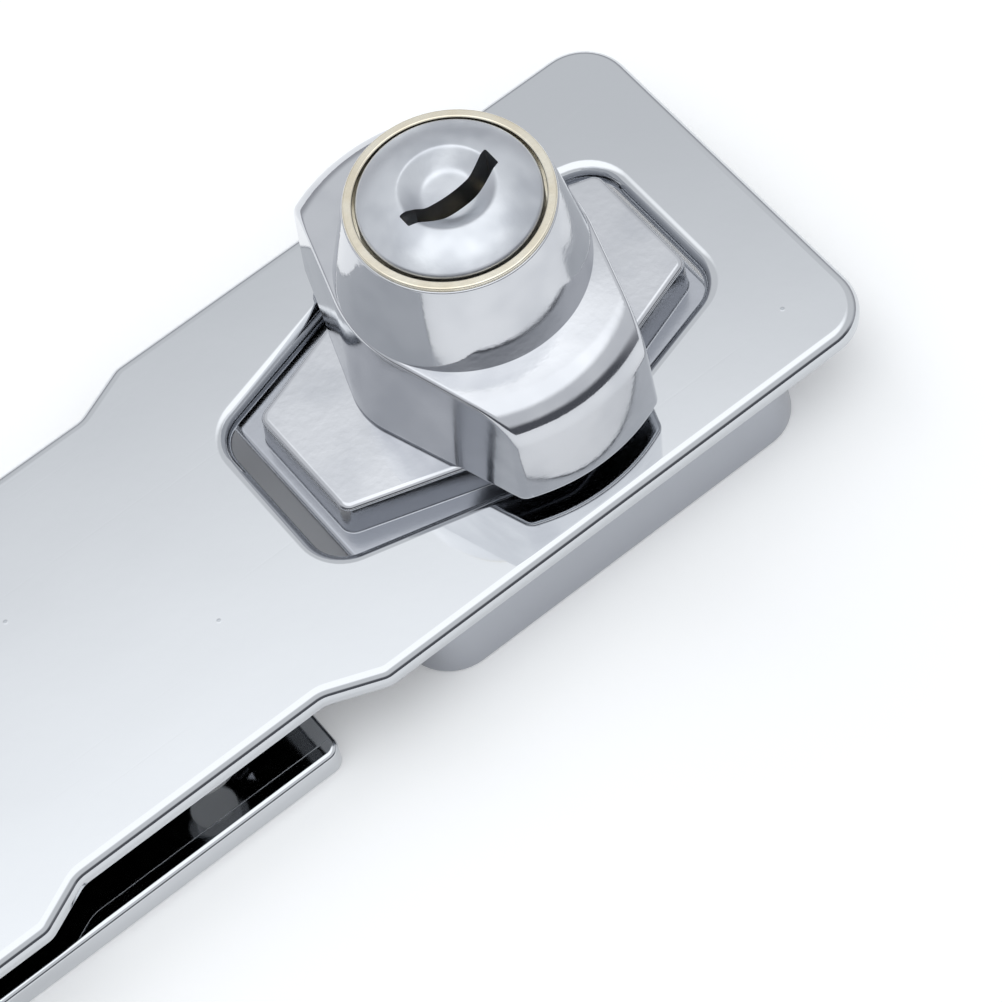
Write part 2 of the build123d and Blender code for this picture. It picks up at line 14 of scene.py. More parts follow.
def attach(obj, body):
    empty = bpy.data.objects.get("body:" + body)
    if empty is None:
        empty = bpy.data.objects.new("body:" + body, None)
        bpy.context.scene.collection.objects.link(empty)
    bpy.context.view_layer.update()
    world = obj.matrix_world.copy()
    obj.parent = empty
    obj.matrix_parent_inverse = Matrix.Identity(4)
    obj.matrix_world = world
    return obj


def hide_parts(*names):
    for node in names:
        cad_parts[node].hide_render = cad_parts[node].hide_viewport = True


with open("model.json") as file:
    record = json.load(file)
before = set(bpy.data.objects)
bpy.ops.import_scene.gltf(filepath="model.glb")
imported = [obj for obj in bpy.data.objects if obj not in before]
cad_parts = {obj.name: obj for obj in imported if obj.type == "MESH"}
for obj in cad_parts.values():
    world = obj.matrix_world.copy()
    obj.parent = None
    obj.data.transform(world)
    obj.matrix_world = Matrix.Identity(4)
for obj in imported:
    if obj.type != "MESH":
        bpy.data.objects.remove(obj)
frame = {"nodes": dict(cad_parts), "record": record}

# A keyed twist-knob hasp lock in bright chrome. Sizes are in millimetres in the frame's own axes:
# +X from the hinge to the lock end, +Z up the knob's axis.

MM = 0.001
WELD = 0.0004
ARC_STEP = math.radians(7.5)
COLUMN_STEP = 0.035
HOLE_COLUMNS = 48
SHARP = 1e-6
UP = (0.0, 0.0, 1.0)
DOWN = (0.0, 0.0, -1.0)
AWAY = (-1.0, 0.0, 0.0)

log = logging.getLogger("hasp_lock")

# Points and normals of a line or a surface, and loops of points round a flat face
Line = tuple[np.ndarray, np.ndarray]
Loops = list[np.ndarray]


class Slot(Enum):
    """Material slots of the record that the pieces take their finish from."""

    SHEET = "chromed_sheet"
    CASTING = "chromed_casting"
    SHELL = "shell_brass"
    PLUG = "plug_nickel"
    WAFER = "wafer_brass"
    PIN = "pin_steel"
    SPRING = "spring_steel"


def rounded_path(corners: list[tuple[float, float]], radii: list[float], closed: bool = True) -> Line:
    """Walks round a polygon whose corners are blunted by tangent arcs.

    An arc of radius r at a corner that turns by t starts r tan(t / 2) before the corner. A corner of
    radius nought gives two points, one for each side's normal, and a corner in line gives one.

    Args:
        corners: The polygon's corners in order.
        radii: One radius for each corner.
        closed: Whether the last corner joins the first.

    Returns:
        The points and their normals to the right of the walk, as two arrays of n by 2.
    """
    spots = np.asarray(corners, float)
    count = len(spots)
    points, normals = [], []
    for index in range(count):
        spot = spots[index]
        before = spot - spots[index - 1]
        after = spots[(index + 1) % count] - spot
        if not closed and index == 0:
            before = after
        if not closed and index == count - 1:
            after = before
        before = before / np.linalg.norm(before)
        after = after / np.linalg.norm(after)
        turn = math.atan2(before[0] * after[1] - before[1] * after[0], float(before @ after))
        right = np.array([before[1], -before[0]])
        if abs(turn) < SHARP:
            points.append(spot[None])
            normals.append(right[None])
            continue
        side = math.copysign(1.0, turn)
        radius = max(radii[index], 0.0)
        pieces = max(1, math.ceil(abs(turn) / ARC_STEP)) if radius > 0 else 1
        angle = np.linspace(0.0, turn, pieces + 1)[:, None]
        swept = np.cos(angle) * right + np.sin(angle) * np.array([-right[1], right[0]])
        centre = spot - before * radius * math.tan(abs(turn) / 2) - side * radius * right
        points.append(centre + side * radius * swept)
        normals.append(swept)
    return np.concatenate(points), np.concatenate(normals)


def bend(*corners: tuple[float, ...]) -> Line:
    """Open rounded path through corners (x, y) or (x, y, radius), sharp where no radius is given."""
    radii = [corner[2] if len(corner) > 2 else 0.0 for corner in corners]
    return rounded_path([corner[:2] for corner in corners], radii, closed=False)


def flip(line: Line) -> Line:
    """A line with its normals turned to the other side."""
    return line[0], -line[1]


def carry(path: Line, profile: Line) -> Line:
    """Carries a profile along a level path.

    A point is the path's point plus the profile's offset times the path's normal, at the profile's
    level, and its normal is made of the path's normal and +Z in the same way.

    Args:
        path: Points and normals of the path in plan.
        profile: Points (offset, level) and normals of the profile.

    Returns:
        Points and normals as two arrays of rows (profile) by columns (path) by 3.
    """
    (spots, sides), (section, facing) = path, profile
    rows, columns = len(section), len(spots)
    points = np.empty((rows, columns, 3))
    points[..., :2] = spots[None] + section[:, None, :1] * sides[None]
    points[..., 2] = section[:, 1:]
    normals = np.empty((rows, columns, 3))
    normals[..., :2] = facing[:, None, :1] * sides[None]
    normals[..., 2] = facing[:, 1:]
    return points, normals


def circle(centre: tuple[float, float], radius: float, angles: np.ndarray) -> Line:
    """Points and outward normals of a circle in plan, at the given angles."""
    sides = np.stack([np.cos(angles), np.sin(angles)], axis=1)
    return np.array(centre) + radius * sides, sides


def even_angles(count: int) -> np.ndarray:
    """Angles spread evenly over one turn, without the last."""
    return np.arange(count) * (2 * math.pi / count)


def arc(radius: float, start: float, end: float) -> Line:
    """Points and outward normals of an arc about the knob's axis, both ends included."""
    return circle((0.0, 0.0), radius, np.linspace(start, end, math.ceil((end - start) / COLUMN_STEP) + 1))


def quarter(line: Line, turns: int) -> Line:
    """A line in plan turned about the knob's axis by a number of quarter turns."""
    turn = np.linalg.matrix_power(np.array([[0.0, 1.0], [-1.0, 0.0]]), turns)
    return line[0] @ turn, line[1] @ turn


def join(*lines: Line) -> Line:
    """Lines in plan put end to end, each without its last point."""
    points, normals = (np.concatenate([line[part][:-1] for line in lines]) for part in (0, 1))
    return points, normals


def at_level(points: np.ndarray, level: float) -> np.ndarray:
    """Plan points lifted to a level."""
    return np.column_stack([points, np.full(len(points), level)])


def ring(radius: float, angles: np.ndarray, level: float) -> np.ndarray:
    """Circle about the knob's axis at a level."""
    return at_level(circle((0.0, 0.0), radius, angles)[0], level)


class Skin:
    """Gathers surface patches with exact normals and welds them into one mesh.

    Where a long edge meets several short ones the corners in between stay unmatched. Nothing gapes
    there, but the log counts the edges as open.
    """

    def __init__(self) -> None:
        """Starts with no patches."""
        self.points: list[np.ndarray] = []
        self.normals: list[np.ndarray] = []
        self.faces: list[np.ndarray] = []
        self.count = 0

    def _add(self, points: np.ndarray, normals: np.ndarray, faces: np.ndarray) -> None:
        """Adds points and triangles, the triangles counted from the patch's first point."""
        self.points.append(points.reshape(-1, 3))
        self.normals.append(normals.reshape(-1, 3))
        self.faces.append(faces + self.count)
        self.count += len(self.points[-1])

    def grid(self, surface: Line, wrap: bool = False) -> None:
        """Adds a surface given on a grid.

        Args:
            surface: Points and normals, rows by columns by 3.
            wrap: Whether the last column joins the first.
        """
        points, normals = surface
        rows, columns = points.shape[:2]
        index = np.arange(rows * columns).reshape(rows, columns)
        if wrap:
            index = np.concatenate([index, index[:, :1]], axis=1)
        a, b, c, d = index[:-1, :-1], index[:-1, 1:], index[1:, 1:], index[1:, :-1]
        faces = np.concatenate([np.stack(three, -1).reshape(-1, 3) for three in ((a, b, c), (a, c, d))])
        self._add(points, normals, faces)

    def fill(self, loops: list[np.ndarray], normal: tuple[float, float, float]) -> None:
        """Fills a flat face between loops of points.

        Args:
            loops: The outer loop and any holes, each n by 3.
            normal: The face's normal.
        """
        kept = [loop[np.abs(loop - np.roll(loop, 1, axis=0)).max(axis=1) > WELD] for loop in loops]
        triangles = tessellate_polygon([loop.tolist() for loop in kept])
        points = np.concatenate(kept)
        self._add(points, np.tile(np.array(normal, float), (len(points), 1)), np.array(triangles, int))

    def upright(self, line: Line, low: float, high: float, wrap: bool = False) -> None:
        """Adds an upright wall over a line in plan, facing against the line's normals.

        Args:
            line: Points and normals of the line.
            low: Level of the wall's foot.
            high: Level of its top.
            wrap: Whether the line's last point joins the first.
        """
        points, sides = line
        walls = np.stack([at_level(points, low), at_level(points, high)])
        self.grid((walls, np.broadcast_to(at_level(-sides, 0.0), walls.shape).copy()), wrap=wrap)

    def caps(self, loops: list[np.ndarray], low: float, high: float) -> None:
        """Adds the floor and the ceiling of a pocket between two levels, over loops in plan."""
        self.fill([at_level(loop, low) for loop in loops], UP)
        self.fill([at_level(loop, high) for loop in loops], DOWN)

    def turn(self, profile: Line, angles: np.ndarray, centre: tuple[float, float] = (0.0, 0.0)) -> np.ndarray:
        """Adds a profile of (radius, level) turned about an upright axis.

        Args:
            profile: Points and normals of the half section.
            angles: The columns' angles.
            centre: The axis in plan.

        Returns:
            The surface's points, rows by columns by 3.
        """
        surface = carry(circle(centre, 0.0, angles), profile)
        self.grid(surface, wrap=True)
        return surface[0]

    def drill(self, profile: Line, centres: list[tuple[float, float]]) -> tuple[Loops, Loops]:
        """Adds upright holes of one half section.

        Args:
            profile: Points and normals of the half section, from its lower end.
            centres: Places of the holes in plan.

        Returns:
            The lower rims and the upper rims.
        """
        walls = [self.turn(profile, even_angles(HOLE_COLUMNS), centre) for centre in centres]
        return [wall[0] for wall in walls], [wall[-1] for wall in walls]

    def build(self, name: str) -> bpy.types.Object:
        """Welds the patches into a mesh object at the origin.

        Points closer than the weld size become one, triangles that collapse are dropped, each
        triangle is turned to face its normals, and the normals are kept for every corner.

        Args:
            name: The object's name.

        Returns:
            The linked object.
        """
        points = np.concatenate(self.points)
        normals = np.concatenate(self.normals)
        faces = np.concatenate(self.faces)
        keys = np.round(points / WELD).astype(np.int64)
        _, first, inverse = np.unique(keys, axis=0, return_index=True, return_inverse=True)
        welded = inverse.reshape(-1)[faces]
        whole = (welded != np.roll(welded, 1, axis=1)).all(axis=1)
        faces, welded = faces[whole], welded[whole]
        edges = points[first][welded]
        facing = np.cross(edges[:, 1] - edges[:, 0], edges[:, 2] - edges[:, 0])
        wrong = (facing * normals[faces].sum(axis=1)).sum(axis=1) < 0
        welded[wrong] = welded[wrong][:, ::-1]
        faces[wrong] = faces[wrong][:, ::-1]
        mesh = bpy.data.meshes.new(name)
        mesh.from_pydata((points[first] * MM).tolist(), [], welded.tolist())
        mesh.polygons.foreach_set("use_smooth", np.ones(len(welded), bool))
        unit = normals / np.maximum(np.linalg.norm(normals, axis=1, keepdims=True), SHARP)
        mesh.normals_split_custom_set(unit[faces].reshape(-1, 3).tolist())
        mesh.update()
        piece = bpy.data.objects.new(name, mesh)
        bpy.context.scene.collection.objects.link(piece)
        pairs = np.sort(np.concatenate([welded[:, :2], welded[:, 1:], welded[:, ::2]]), axis=1)
        _, uses = np.unique(pairs, axis=0, return_counts=True)
        log.info("%s: %d triangles, %d open edges", name, len(welded), int((uses != 2).sum()))
        return piece


class Wiring:
    """Adds nodes to one node tree and joins their sockets."""

    def __init__(self, tree: bpy.types.NodeTree) -> None:
        """Keeps the tree that the nodes go into."""
        self.tree = tree

    def node(self, kind: str, inputs: dict | None = None, **settings: object) -> bpy.types.Node:
        """Adds a node.

        Args:
            kind: The node's type name.
            inputs: Values or sockets by input name or number.
            settings: The node's own settings.

        Returns:
            The node.
        """
        made = self.tree.nodes.new(kind)
        for key, value in settings.items():
            setattr(made, key, value)
        for key, value in (inputs or {}).items():
            if isinstance(value, bpy.types.NodeSocket):
                self.tree.links.new(value, made.inputs[key])
            else:
                made.inputs[key].default_value = value
        return made

    def math(self, operation: str, *values: object) -> bpy.types.NodeSocket:
        """Result of a Math node on values or sockets."""
        made = self.node("ShaderNodeMath", dict(enumerate(values)), operation=operation)
        return made.outputs[0]

    def ramp(self, value: object, low: float, high: float, start: float = 0.0, end: float = 1.0) -> object:
        """Smooth step of a value from low to high, mapped to start and end."""
        inputs = {"Value": value, "From Min": low, "From Max": high, "To Min": start, "To Max": end}
        return self.node("ShaderNodeMapRange", inputs, interpolation_type="SMOOTHSTEP").outputs[0]

    def blend(self, share: object, first: object, second: object) -> bpy.types.NodeSocket:
        """Colour mixed from two others."""
        made = self.node("ShaderNodeMix", {0: share, 6: first, 7: second}, data_type="RGBA")
        return made.outputs[2]

    def noise(self, vector: object, scale: object, detail: float = 2.0) -> bpy.types.NodeSocket:
        """Value of a Noise texture."""
        inputs = {"Vector": vector, "Scale": scale, "Detail": detail, "Roughness": 0.5}
        return self.node("ShaderNodeTexNoise", inputs).outputs[0]


def new_group(name: str, inputs: dict[str, str], outputs: dict[str, str]) -> tuple:
    """Makes an empty shader node group.

    Args:
        name: The group's name.
        inputs: Socket types by input name.
        outputs: Socket types by output name.

    Returns:
        The group's tree, its wiring, its input node and its output node.
    """
    tree = bpy.data.node_groups.new(name, "ShaderNodeTree")
    for label, kind in inputs.items():
        tree.interface.new_socket(label, in_out="INPUT", socket_type=kind)
    for label, kind in outputs.items():
        tree.interface.new_socket(label, in_out="OUTPUT", socket_type=kind)
    wiring = Wiring(tree)
    return tree, wiring, wiring.node("NodeGroupInput"), wiring.node("NodeGroupOutput")


FLOAT = "NodeSocketFloat"
VECTOR = "NodeSocketVector"


class Effects:
    """Node groups that several finishes share, with their scales per metre and their thresholds."""

    BROAD_SCALE = 90.0
    FINE_SCALE = 900.0
    FINE_SHARE = 0.05
    CLOUD_SHARE = 0.12
    SCRATCH_ANGLES = (0.5, -0.9)
    SCRATCH_SCALE = (40.0, 2600.0, 40.0)
    SCRATCH_BAND = (0.70, 0.76)
    SPECK_SCALE = 420.0
    SPECK_BAND = (0.05, 0.09)
    SPECK_RARITY = 0.93

    def __init__(self) -> None:
        """Builds each group once."""
        self.ripple = self._ripple()
        self.grain = self._grain()
        self.marks = self._marks()

    def _ripple(self) -> bpy.types.NodeTree:
        """Slow waviness of plated sheet: broad noise plus a little of a finer one."""
        tree, wiring, source, result = new_group("plate_ripple", {"Vector": VECTOR}, {"Height": FLOAT})
        broad = wiring.noise(source.outputs[0], self.BROAD_SCALE, 1.0)
        fine = wiring.noise(source.outputs[0], self.FINE_SCALE)
        height = wiring.math("MULTIPLY_ADD", fine, self.FINE_SHARE, broad)
        wiring.tree.links.new(height, result.inputs[0])
        return tree

    def _grain(self) -> bpy.types.NodeTree:
        """Grain of a plated casting: fine noise for height and a cloudy tone for colour."""
        tree, wiring, source, result = new_group(
            "cast_grain", {"Vector": VECTOR, "Scale": FLOAT}, {"Height": FLOAT, "Tone": FLOAT}
        )
        vector, scale = source.outputs[0], source.outputs[1]
        pebbles = wiring.noise(vector, scale, 3.0)
        cloud = wiring.noise(vector, wiring.math("MULTIPLY", scale, self.CLOUD_SHARE))
        wiring.tree.links.new(pebbles, result.inputs[0])
        wiring.tree.links.new(cloud, result.inputs[1])
        return tree

    def _marks(self) -> bpy.types.NodeTree:
        """Handling marks: thin scratches in two directions and small specks of dust."""
        tree, wiring, source, result = new_group(
            "handling_marks", {"Vector": VECTOR}, {"Scratch": FLOAT, "Speck": FLOAT}
        )
        vector = source.outputs[0]
        lines = []
        for angle in self.SCRATCH_ANGLES:
            inputs = {"Vector": vector, "Rotation": (0.0, 0.0, angle), "Scale": self.SCRATCH_SCALE}
            streak = wiring.noise(wiring.node("ShaderNodeMapping", inputs).outputs[0], 1.0)
            lines.append(wiring.ramp(streak, *self.SCRATCH_BAND))
        scratch = wiring.math("MAXIMUM", *lines)
        dots = wiring.node("ShaderNodeTexVoronoi", {"Vector": vector, "Scale": self.SPECK_SCALE})
        near = wiring.ramp(dots.outputs["Distance"], *self.SPECK_BAND, 1.0, 0.0)
        chosen = wiring.node("ShaderNodeSeparateColor", {"Color": dots.outputs["Color"]})
        rare = wiring.math("GREATER_THAN", chosen.outputs[0], self.SPECK_RARITY)
        speck = wiring.math("MULTIPLY", near, rare)
        wiring.tree.links.new(scratch, result.inputs[0])
        wiring.tree.links.new(speck, result.inputs[1])
        return tree


@dataclass(frozen=True)
class MetalFinish:
    """A metal surface: its colour, its polish and how much of each shared effect it shows.

    Heights, the grain's size and the level below which painted shade darkens the colour are in millimetres.
    The last six say how deep a full scratch and how high a full speck is, where the cloudy tone
    begins and ends, how far the painted shade fades out, and what a scratch and the tone add to the
    roughness.
    """

    name: str
    colour: tuple[float, float, float]
    shade: tuple[float, float, float]
    roughness: float
    ripple: float = 0.0
    grain: float = 0.0
    grain_size: float = 0.5
    cloud: float = 0.0
    scratch: float = 0.0
    speck: float = 0.0
    shade_below: float = 0.0
    scratch_depth: float = 0.001
    speck_height: float = 0.01
    cloud_band: tuple[float, float] = (0.35, 0.7)
    shade_fade: float = 1.2
    scratch_rough: float = 0.12
    tone_rough: float = 0.15

    def make(self, effects: Effects) -> bpy.types.Material:
        """Builds the material.

        Args:
            effects: The shared node groups.

        Returns:
            The material.
        """
        material = bpy.data.materials.new(self.name)
        material.use_nodes = True
        tree = material.node_tree
        wiring = Wiring(tree)
        shader = tree.nodes["Principled BSDF"]
        shader.inputs["Metallic"].default_value = 1.0
        place = wiring.node("ShaderNodeTexCoord").outputs["Object"]
        ripple = wiring.node("ShaderNodeGroup", node_tree=effects.ripple)
        grain = wiring.node("ShaderNodeGroup", node_tree=effects.grain)
        marks = wiring.node("ShaderNodeGroup", node_tree=effects.marks)
        for group in (ripple, grain, marks):
            tree.links.new(place, group.inputs[0])
        grain.inputs["Scale"].default_value = 1 / (self.grain_size * MM)
        height = wiring.math("MULTIPLY", ripple.outputs[0], self.ripple)
        height = wiring.math("MULTIPLY_ADD", grain.outputs[0], self.grain, height)
        height = wiring.math("MULTIPLY_ADD", marks.outputs[0], -self.scratch * self.scratch_depth, height)
        height = wiring.math("MULTIPLY_ADD", marks.outputs[1], self.speck * self.speck_height, height)
        bump = wiring.node("ShaderNodeBump", {"Height": height, "Distance": MM, "Strength": 1.0})
        tree.links.new(bump.outputs[0], shader.inputs["Normal"])
        tone = wiring.ramp(grain.outputs[1], *self.cloud_band, 0.0, self.cloud)
        tone = wiring.math("MAXIMUM", tone, wiring.math("MULTIPLY", marks.outputs[1], self.speck))
        # Painted shade: below the given level the colour is blended towards the shade colour and made
        # rougher, for the shade under the strap and the shadowed floor that the lower walls reflect.
        if self.shade_below > 0:
            level = wiring.node("ShaderNodeSeparateXYZ", {0: place}).outputs[2]
            top = self.shade_below * MM
            tone = wiring.math("MAXIMUM", tone, wiring.ramp(level, top - self.shade_fade * MM, top, 1.0, 0.0))
        colour = wiring.blend(tone, (*self.colour, 1.0), (*self.shade, 1.0))
        tree.links.new(colour, shader.inputs["Base Color"])
        scored = self.scratch_rough * self.scratch
        rough = wiring.math("MULTIPLY_ADD", marks.outputs[0], scored, self.roughness)
        rough = wiring.math("MULTIPLY_ADD", tone, self.tone_rough, rough)
        tree.links.new(rough, shader.inputs["Roughness"])
        return material


SHEET_CHROME = MetalFinish(
    "sheet_chrome", (0.63, 0.645, 0.665), (0.4, 0.42, 0.45), 0.045, ripple=0.02, scratch=0.3, speck=0.5
)
# The casting carries painted shade below 9 mm: its colour darkens in the trench under the strap and on the
# base's lower walls.
CAST_CHROME = MetalFinish(
    "cast_chrome", (0.65, 0.66, 0.685), (0.44, 0.455, 0.49), 0.07, ripple=0.014,
    grain=0.005, grain_size=0.6, cloud=0.4, shade_below=9.0
)
PLUG_SATIN = MetalFinish(
    "plug_satin", (0.7, 0.72, 0.75), (0.42, 0.44, 0.48), 0.28, grain=0.01, grain_size=0.45, cloud=0.6
)
RING_BRASS = MetalFinish(
    "ring_brass", (0.88, 0.83, 0.7), (0.6, 0.5, 0.34), 0.14, grain=0.006, grain_size=0.4, cloud=0.45
)
WAFER_BRASS = MetalFinish(
    "wafer_brass", (0.62, 0.48, 0.26), (0.3, 0.2, 0.1), 0.34, grain=0.004, grain_size=0.3, cloud=0.6
)
PIN_STEEL = MetalFinish(
    "pin_steel", (0.58, 0.58, 0.6), (0.35, 0.35, 0.37), 0.26, grain=0.002, grain_size=0.3, scratch=1.0
)
SPRING_STEEL = MetalFinish(
    "spring_steel", (0.42, 0.42, 0.45), (0.2, 0.2, 0.22), 0.3, grain=0.002, grain_size=0.3, cloud=0.4
)


def dress(piece: bpy.types.Object, material: bpy.types.Material, body: str, slot: Slot, *nodes: str) -> None:
    """Gives a piece its material and its place in the frame.

    Args:
        piece: The piece.
        material: Its material.
        body: The body that it rides on.
        slot: The record slot of its finish. Not used.
        nodes: The CAD nodes that it stands for.
    """
    piece.data.materials.clear()
    piece.data.materials.append(material)
    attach(piece, body)
    if nodes:
        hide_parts(*nodes)


@dataclass
class Hinge:
    """Rolled knuckles that the strap and the leaf share."""

    reach: float = 74.2
    barrel_radius: float = 3.7
    sheet: float = 1.2
    relief: float = 0.3
    width: float = 35.0
    count: int = 5
    gap: float = 0.2
    mouth: float = 30.0
    edge: float = 0.16
    blend_length: float = 0.9
    flat_rows: int = 7
    arc_rows: int = 61

    @property
    def back(self) -> float:
        """Place along X where the tongues of the knuckles begin."""
        return -self.reach + self.barrel_radius + self.relief

    def spans(self, first: int) -> list[tuple[float, float]]:
        """Ends along Y of every second knuckle, from knuckle number first."""
        pitch = self.width / self.count
        spans = []
        for index in range(first, self.count, 2):
            low = -self.width / 2 + index * pitch
            start = low + (self.gap / 2 if index > 0 else 0.0)
            end = low + pitch - (self.gap / 2 if index < self.count - 1 else 0.0)
            spans.append((start, end))
        return spans

    def path(self, upper: bool) -> tuple[np.ndarray, np.ndarray, np.ndarray]:
        """Outer line of a knuckle: level from the tongue's root, then round the pin to the mouth.

        The arc has the barrel's radius and runs through 240 degrees. A lower knuckle is the upper
        one mirrored in the pin's level.

        Args:
            upper: Whether the knuckle hangs from the strap.

        Returns:
            Points (x, z), outward normals and the distances along the line.
        """
        line = np.linspace(self.back, -self.reach, self.flat_rows)
        angles = np.radians(np.linspace(90.0, 360.0 - self.mouth, self.arc_rows))[1:]
        _, around = circle((0.0, 0.0), 1.0, angles)
        straight = np.column_stack([line, np.full(len(line), self.barrel_radius)])
        points = np.concatenate([straight, self.barrel_radius * around + [-self.reach, 0.0]])
        normals = np.concatenate([np.tile([0.0, 1.0], (len(line), 1)), around])
        if not upper:
            points[:, 1] *= -1
            normals[:, 1] *= -1
        points[:, 1] += self.barrel_radius
        steps = np.linalg.norm(np.diff(points, axis=0), axis=1)
        return points, normals, np.concatenate([[0.0], np.cumsum(steps)])

    def roll(self, skin: Skin, start: float, end: float, upper: bool, outer_round: float) -> None:
        """Adds one tongue and its knuckle, a rounded oblong carried along the outer line.

        The oblong's edges are sharp at the tongue's root and round over within a short length. An
        end of the barrel keeps the plate's own edge round.

        Args:
            skin: The mesh in the making.
            start: Lower end along Y.
            end: Upper end along Y.
            upper: Whether the knuckle hangs from the strap.
            outer_round: Edge round at the two ends of the barrel.
        """
        line, outwards, far = self.path(upper)
        half = self.width / 2
        points, normals = [], []
        for spot, facing, distance in zip(line, outwards, far):
            small = max(self.edge * min(distance / self.blend_length, 1.0), SHARP)
            low_round = outer_round if start <= -half else small
            high_round = outer_round if end >= half else small
            corners = [(start, -self.sheet), (end, -self.sheet), (end, 0.0), (start, 0.0)]
            section, sides = rounded_path(corners, [small, small, high_round, low_round])
            depth, lean = section[:, 1:], sides[:, 1:]
            flat = spot + depth * facing
            points.append(np.column_stack([flat[:, 0], section[:, 0], flat[:, 1]]))
            normals.append(np.column_stack([lean * facing[0], sides[:, :1], lean * facing[1]]))
        skin.grid((np.array(points), np.array(normals)), wrap=True)
        tangent = (line[-1] - line[-2]) / np.linalg.norm(line[-1] - line[-2])
        skin.fill([points[-1]], (float(tangent[0]), 0.0, float(tangent[1])))


def rim_section(sheet: float, low: float, top: float, lip: float, soft: float) -> Line:
    """Section of a pressed plate's turned-down rim, from under the plate round to its top.

    Args:
        sheet: Thickness of the sheet.
        low: Level of the rim's edge.
        top: Level of the plate's top.
        lip: Round of the rim's edge.
        soft: Round of the plate's edge.

    Returns:
        Points (offset, level) and normals.
    """
    under = top - sheet
    return bend((-sheet, under), (-sheet, low, lip), (0, low, lip), (0, under), (0, top, soft), (-soft, top))


def close_rim(skin: Skin, rim: Line, under: float, place: float, half: float) -> None:
    """Closes the rim's two cut ends, which face the hinge.

    Args:
        skin: The mesh in the making.
        rim: The rim's section.
        under: Level of the plate's underside.
        place: Place of the ends along X.
        half: Half the plate's width.
    """
    leg = rim[0][rim[0][:, 1] <= under + SHARP]
    for side in (-1.0, 1.0):
        skin.fill([np.column_stack([np.full(len(leg), place), side * (half + leg[:, 0]), leg[:, 1]])], AWAY)


@dataclass
class Strap:
    """Pressed strap with its turned-down rim, jogged waist, window and three knuckles."""

    hinge: Hinge
    top: float = 7.4
    rim_depth: float = 1.6
    end_reach: float = 24.5
    corner: float = 4.2
    edge_round: float = 1.0
    lip_round: float = 0.2
    waist_inset: float = 1.9
    near_start: float = 22.0
    near_end: float = 26.6
    far_end: float = 48.0
    far_start: float = 52.0
    waist_round: float = 2.0
    window_shift: float = -1.3
    window_length: float = 36.4
    window_end_width: float = 14.0
    window_mid_width: float = 24.2
    window_corner: float = 3.0
    window_round: float = 1.1

    def outline(self) -> Line:
        """Plan of the rim, from the hinge along the near side, round the end and back."""
        half = self.hinge.width / 2
        waist = half - self.waist_inset
        near = [
            (self.hinge.back, -half),
            (-self.far_start, -half),
            (-self.far_end, -waist),
            (-self.near_end, -waist),
            (-self.near_start, -half),
            (self.end_reach, -half),
        ]
        far = [(x, -y) for x, y in reversed(near)]
        radii = [0.0] + [self.waist_round] * 4 + [self.corner]
        return rounded_path(near + far, radii + radii[::-1], closed=False)

    def window(self) -> Line:
        """Plan of the window, a hexagon widest at mid length, with blunt corners."""
        widths = (self.window_end_width, self.window_mid_width)
        return hexagon(self.window_shift, self.window_length, *widths, self.window_corner)

    def build(self) -> bpy.types.Object:
        """Builds the strap as one surface."""
        skin = Skin()
        sheet, half, back = self.hinge.sheet, self.hinge.width / 2, self.hinge.back
        under, top, soft = self.top - sheet, self.top, self.window_round
        rim = rim_section(sheet, top - self.rim_depth, top, self.lip_round, self.edge_round)
        walls = carry(self.outline(), rim)
        skin.grid(walls)
        edge = carry(self.window(), flip(bend((0, under), (0, top, soft), (soft, top))))
        skin.grid(edge, wrap=True)
        spans = self.hinge.spans(0)
        inner = [y for span in spans for y in span][1:-1][::-1]
        roots = np.array([(back, y) for y in inner])
        skin.fill([np.concatenate([walls[0][-1], at_level(roots, top)]), edge[0][-1]], UP)
        skin.fill([np.concatenate([walls[0][0], at_level(roots, under)]), edge[0][0]], DOWN)
        for (_, start), (end, _) in zip(spans, spans[1:]):
            corners = [(back, start, under), (back, end, under), (back, end, top), (back, start, top)]
            skin.fill([np.array(corners)], AWAY)
        close_rim(skin, rim, under, back, half)
        for start, end in spans:
            self.hinge.roll(skin, start, end, True, self.edge_round)
        return skin.build("strap_plate")


def hexagon(shift: float, length: float, end_width: float, mid_width: float, corner: float) -> Line:
    """Plan of a six-sided form with blunt ends, widest at mid length.

    Args:
        shift: Place of its middle along X.
        length: Length along X.
        end_width: Width of its ends.
        mid_width: Width at mid length.
        corner: Radius of every corner.

    Returns:
        Points and outward normals.
    """
    reach, end, mid = length / 2, end_width / 2, mid_width / 2
    corners = [(-reach, -end), (0.0, -mid), (reach, -end), (reach, end), (0.0, mid), (-reach, end)]
    return rounded_path([(x + shift, y) for x, y in corners], [corner] * 6)


def oblong(shift: float, length: float, width: float, corner: float) -> Line:
    """Plan of an oblong with rounded corners, its middle moved along X."""
    x, y = length / 2, width / 2
    corners = [(shift - x, -y), (shift + x, -y), (shift + x, y), (shift - x, y)]
    return rounded_path(corners, [corner] * 4)


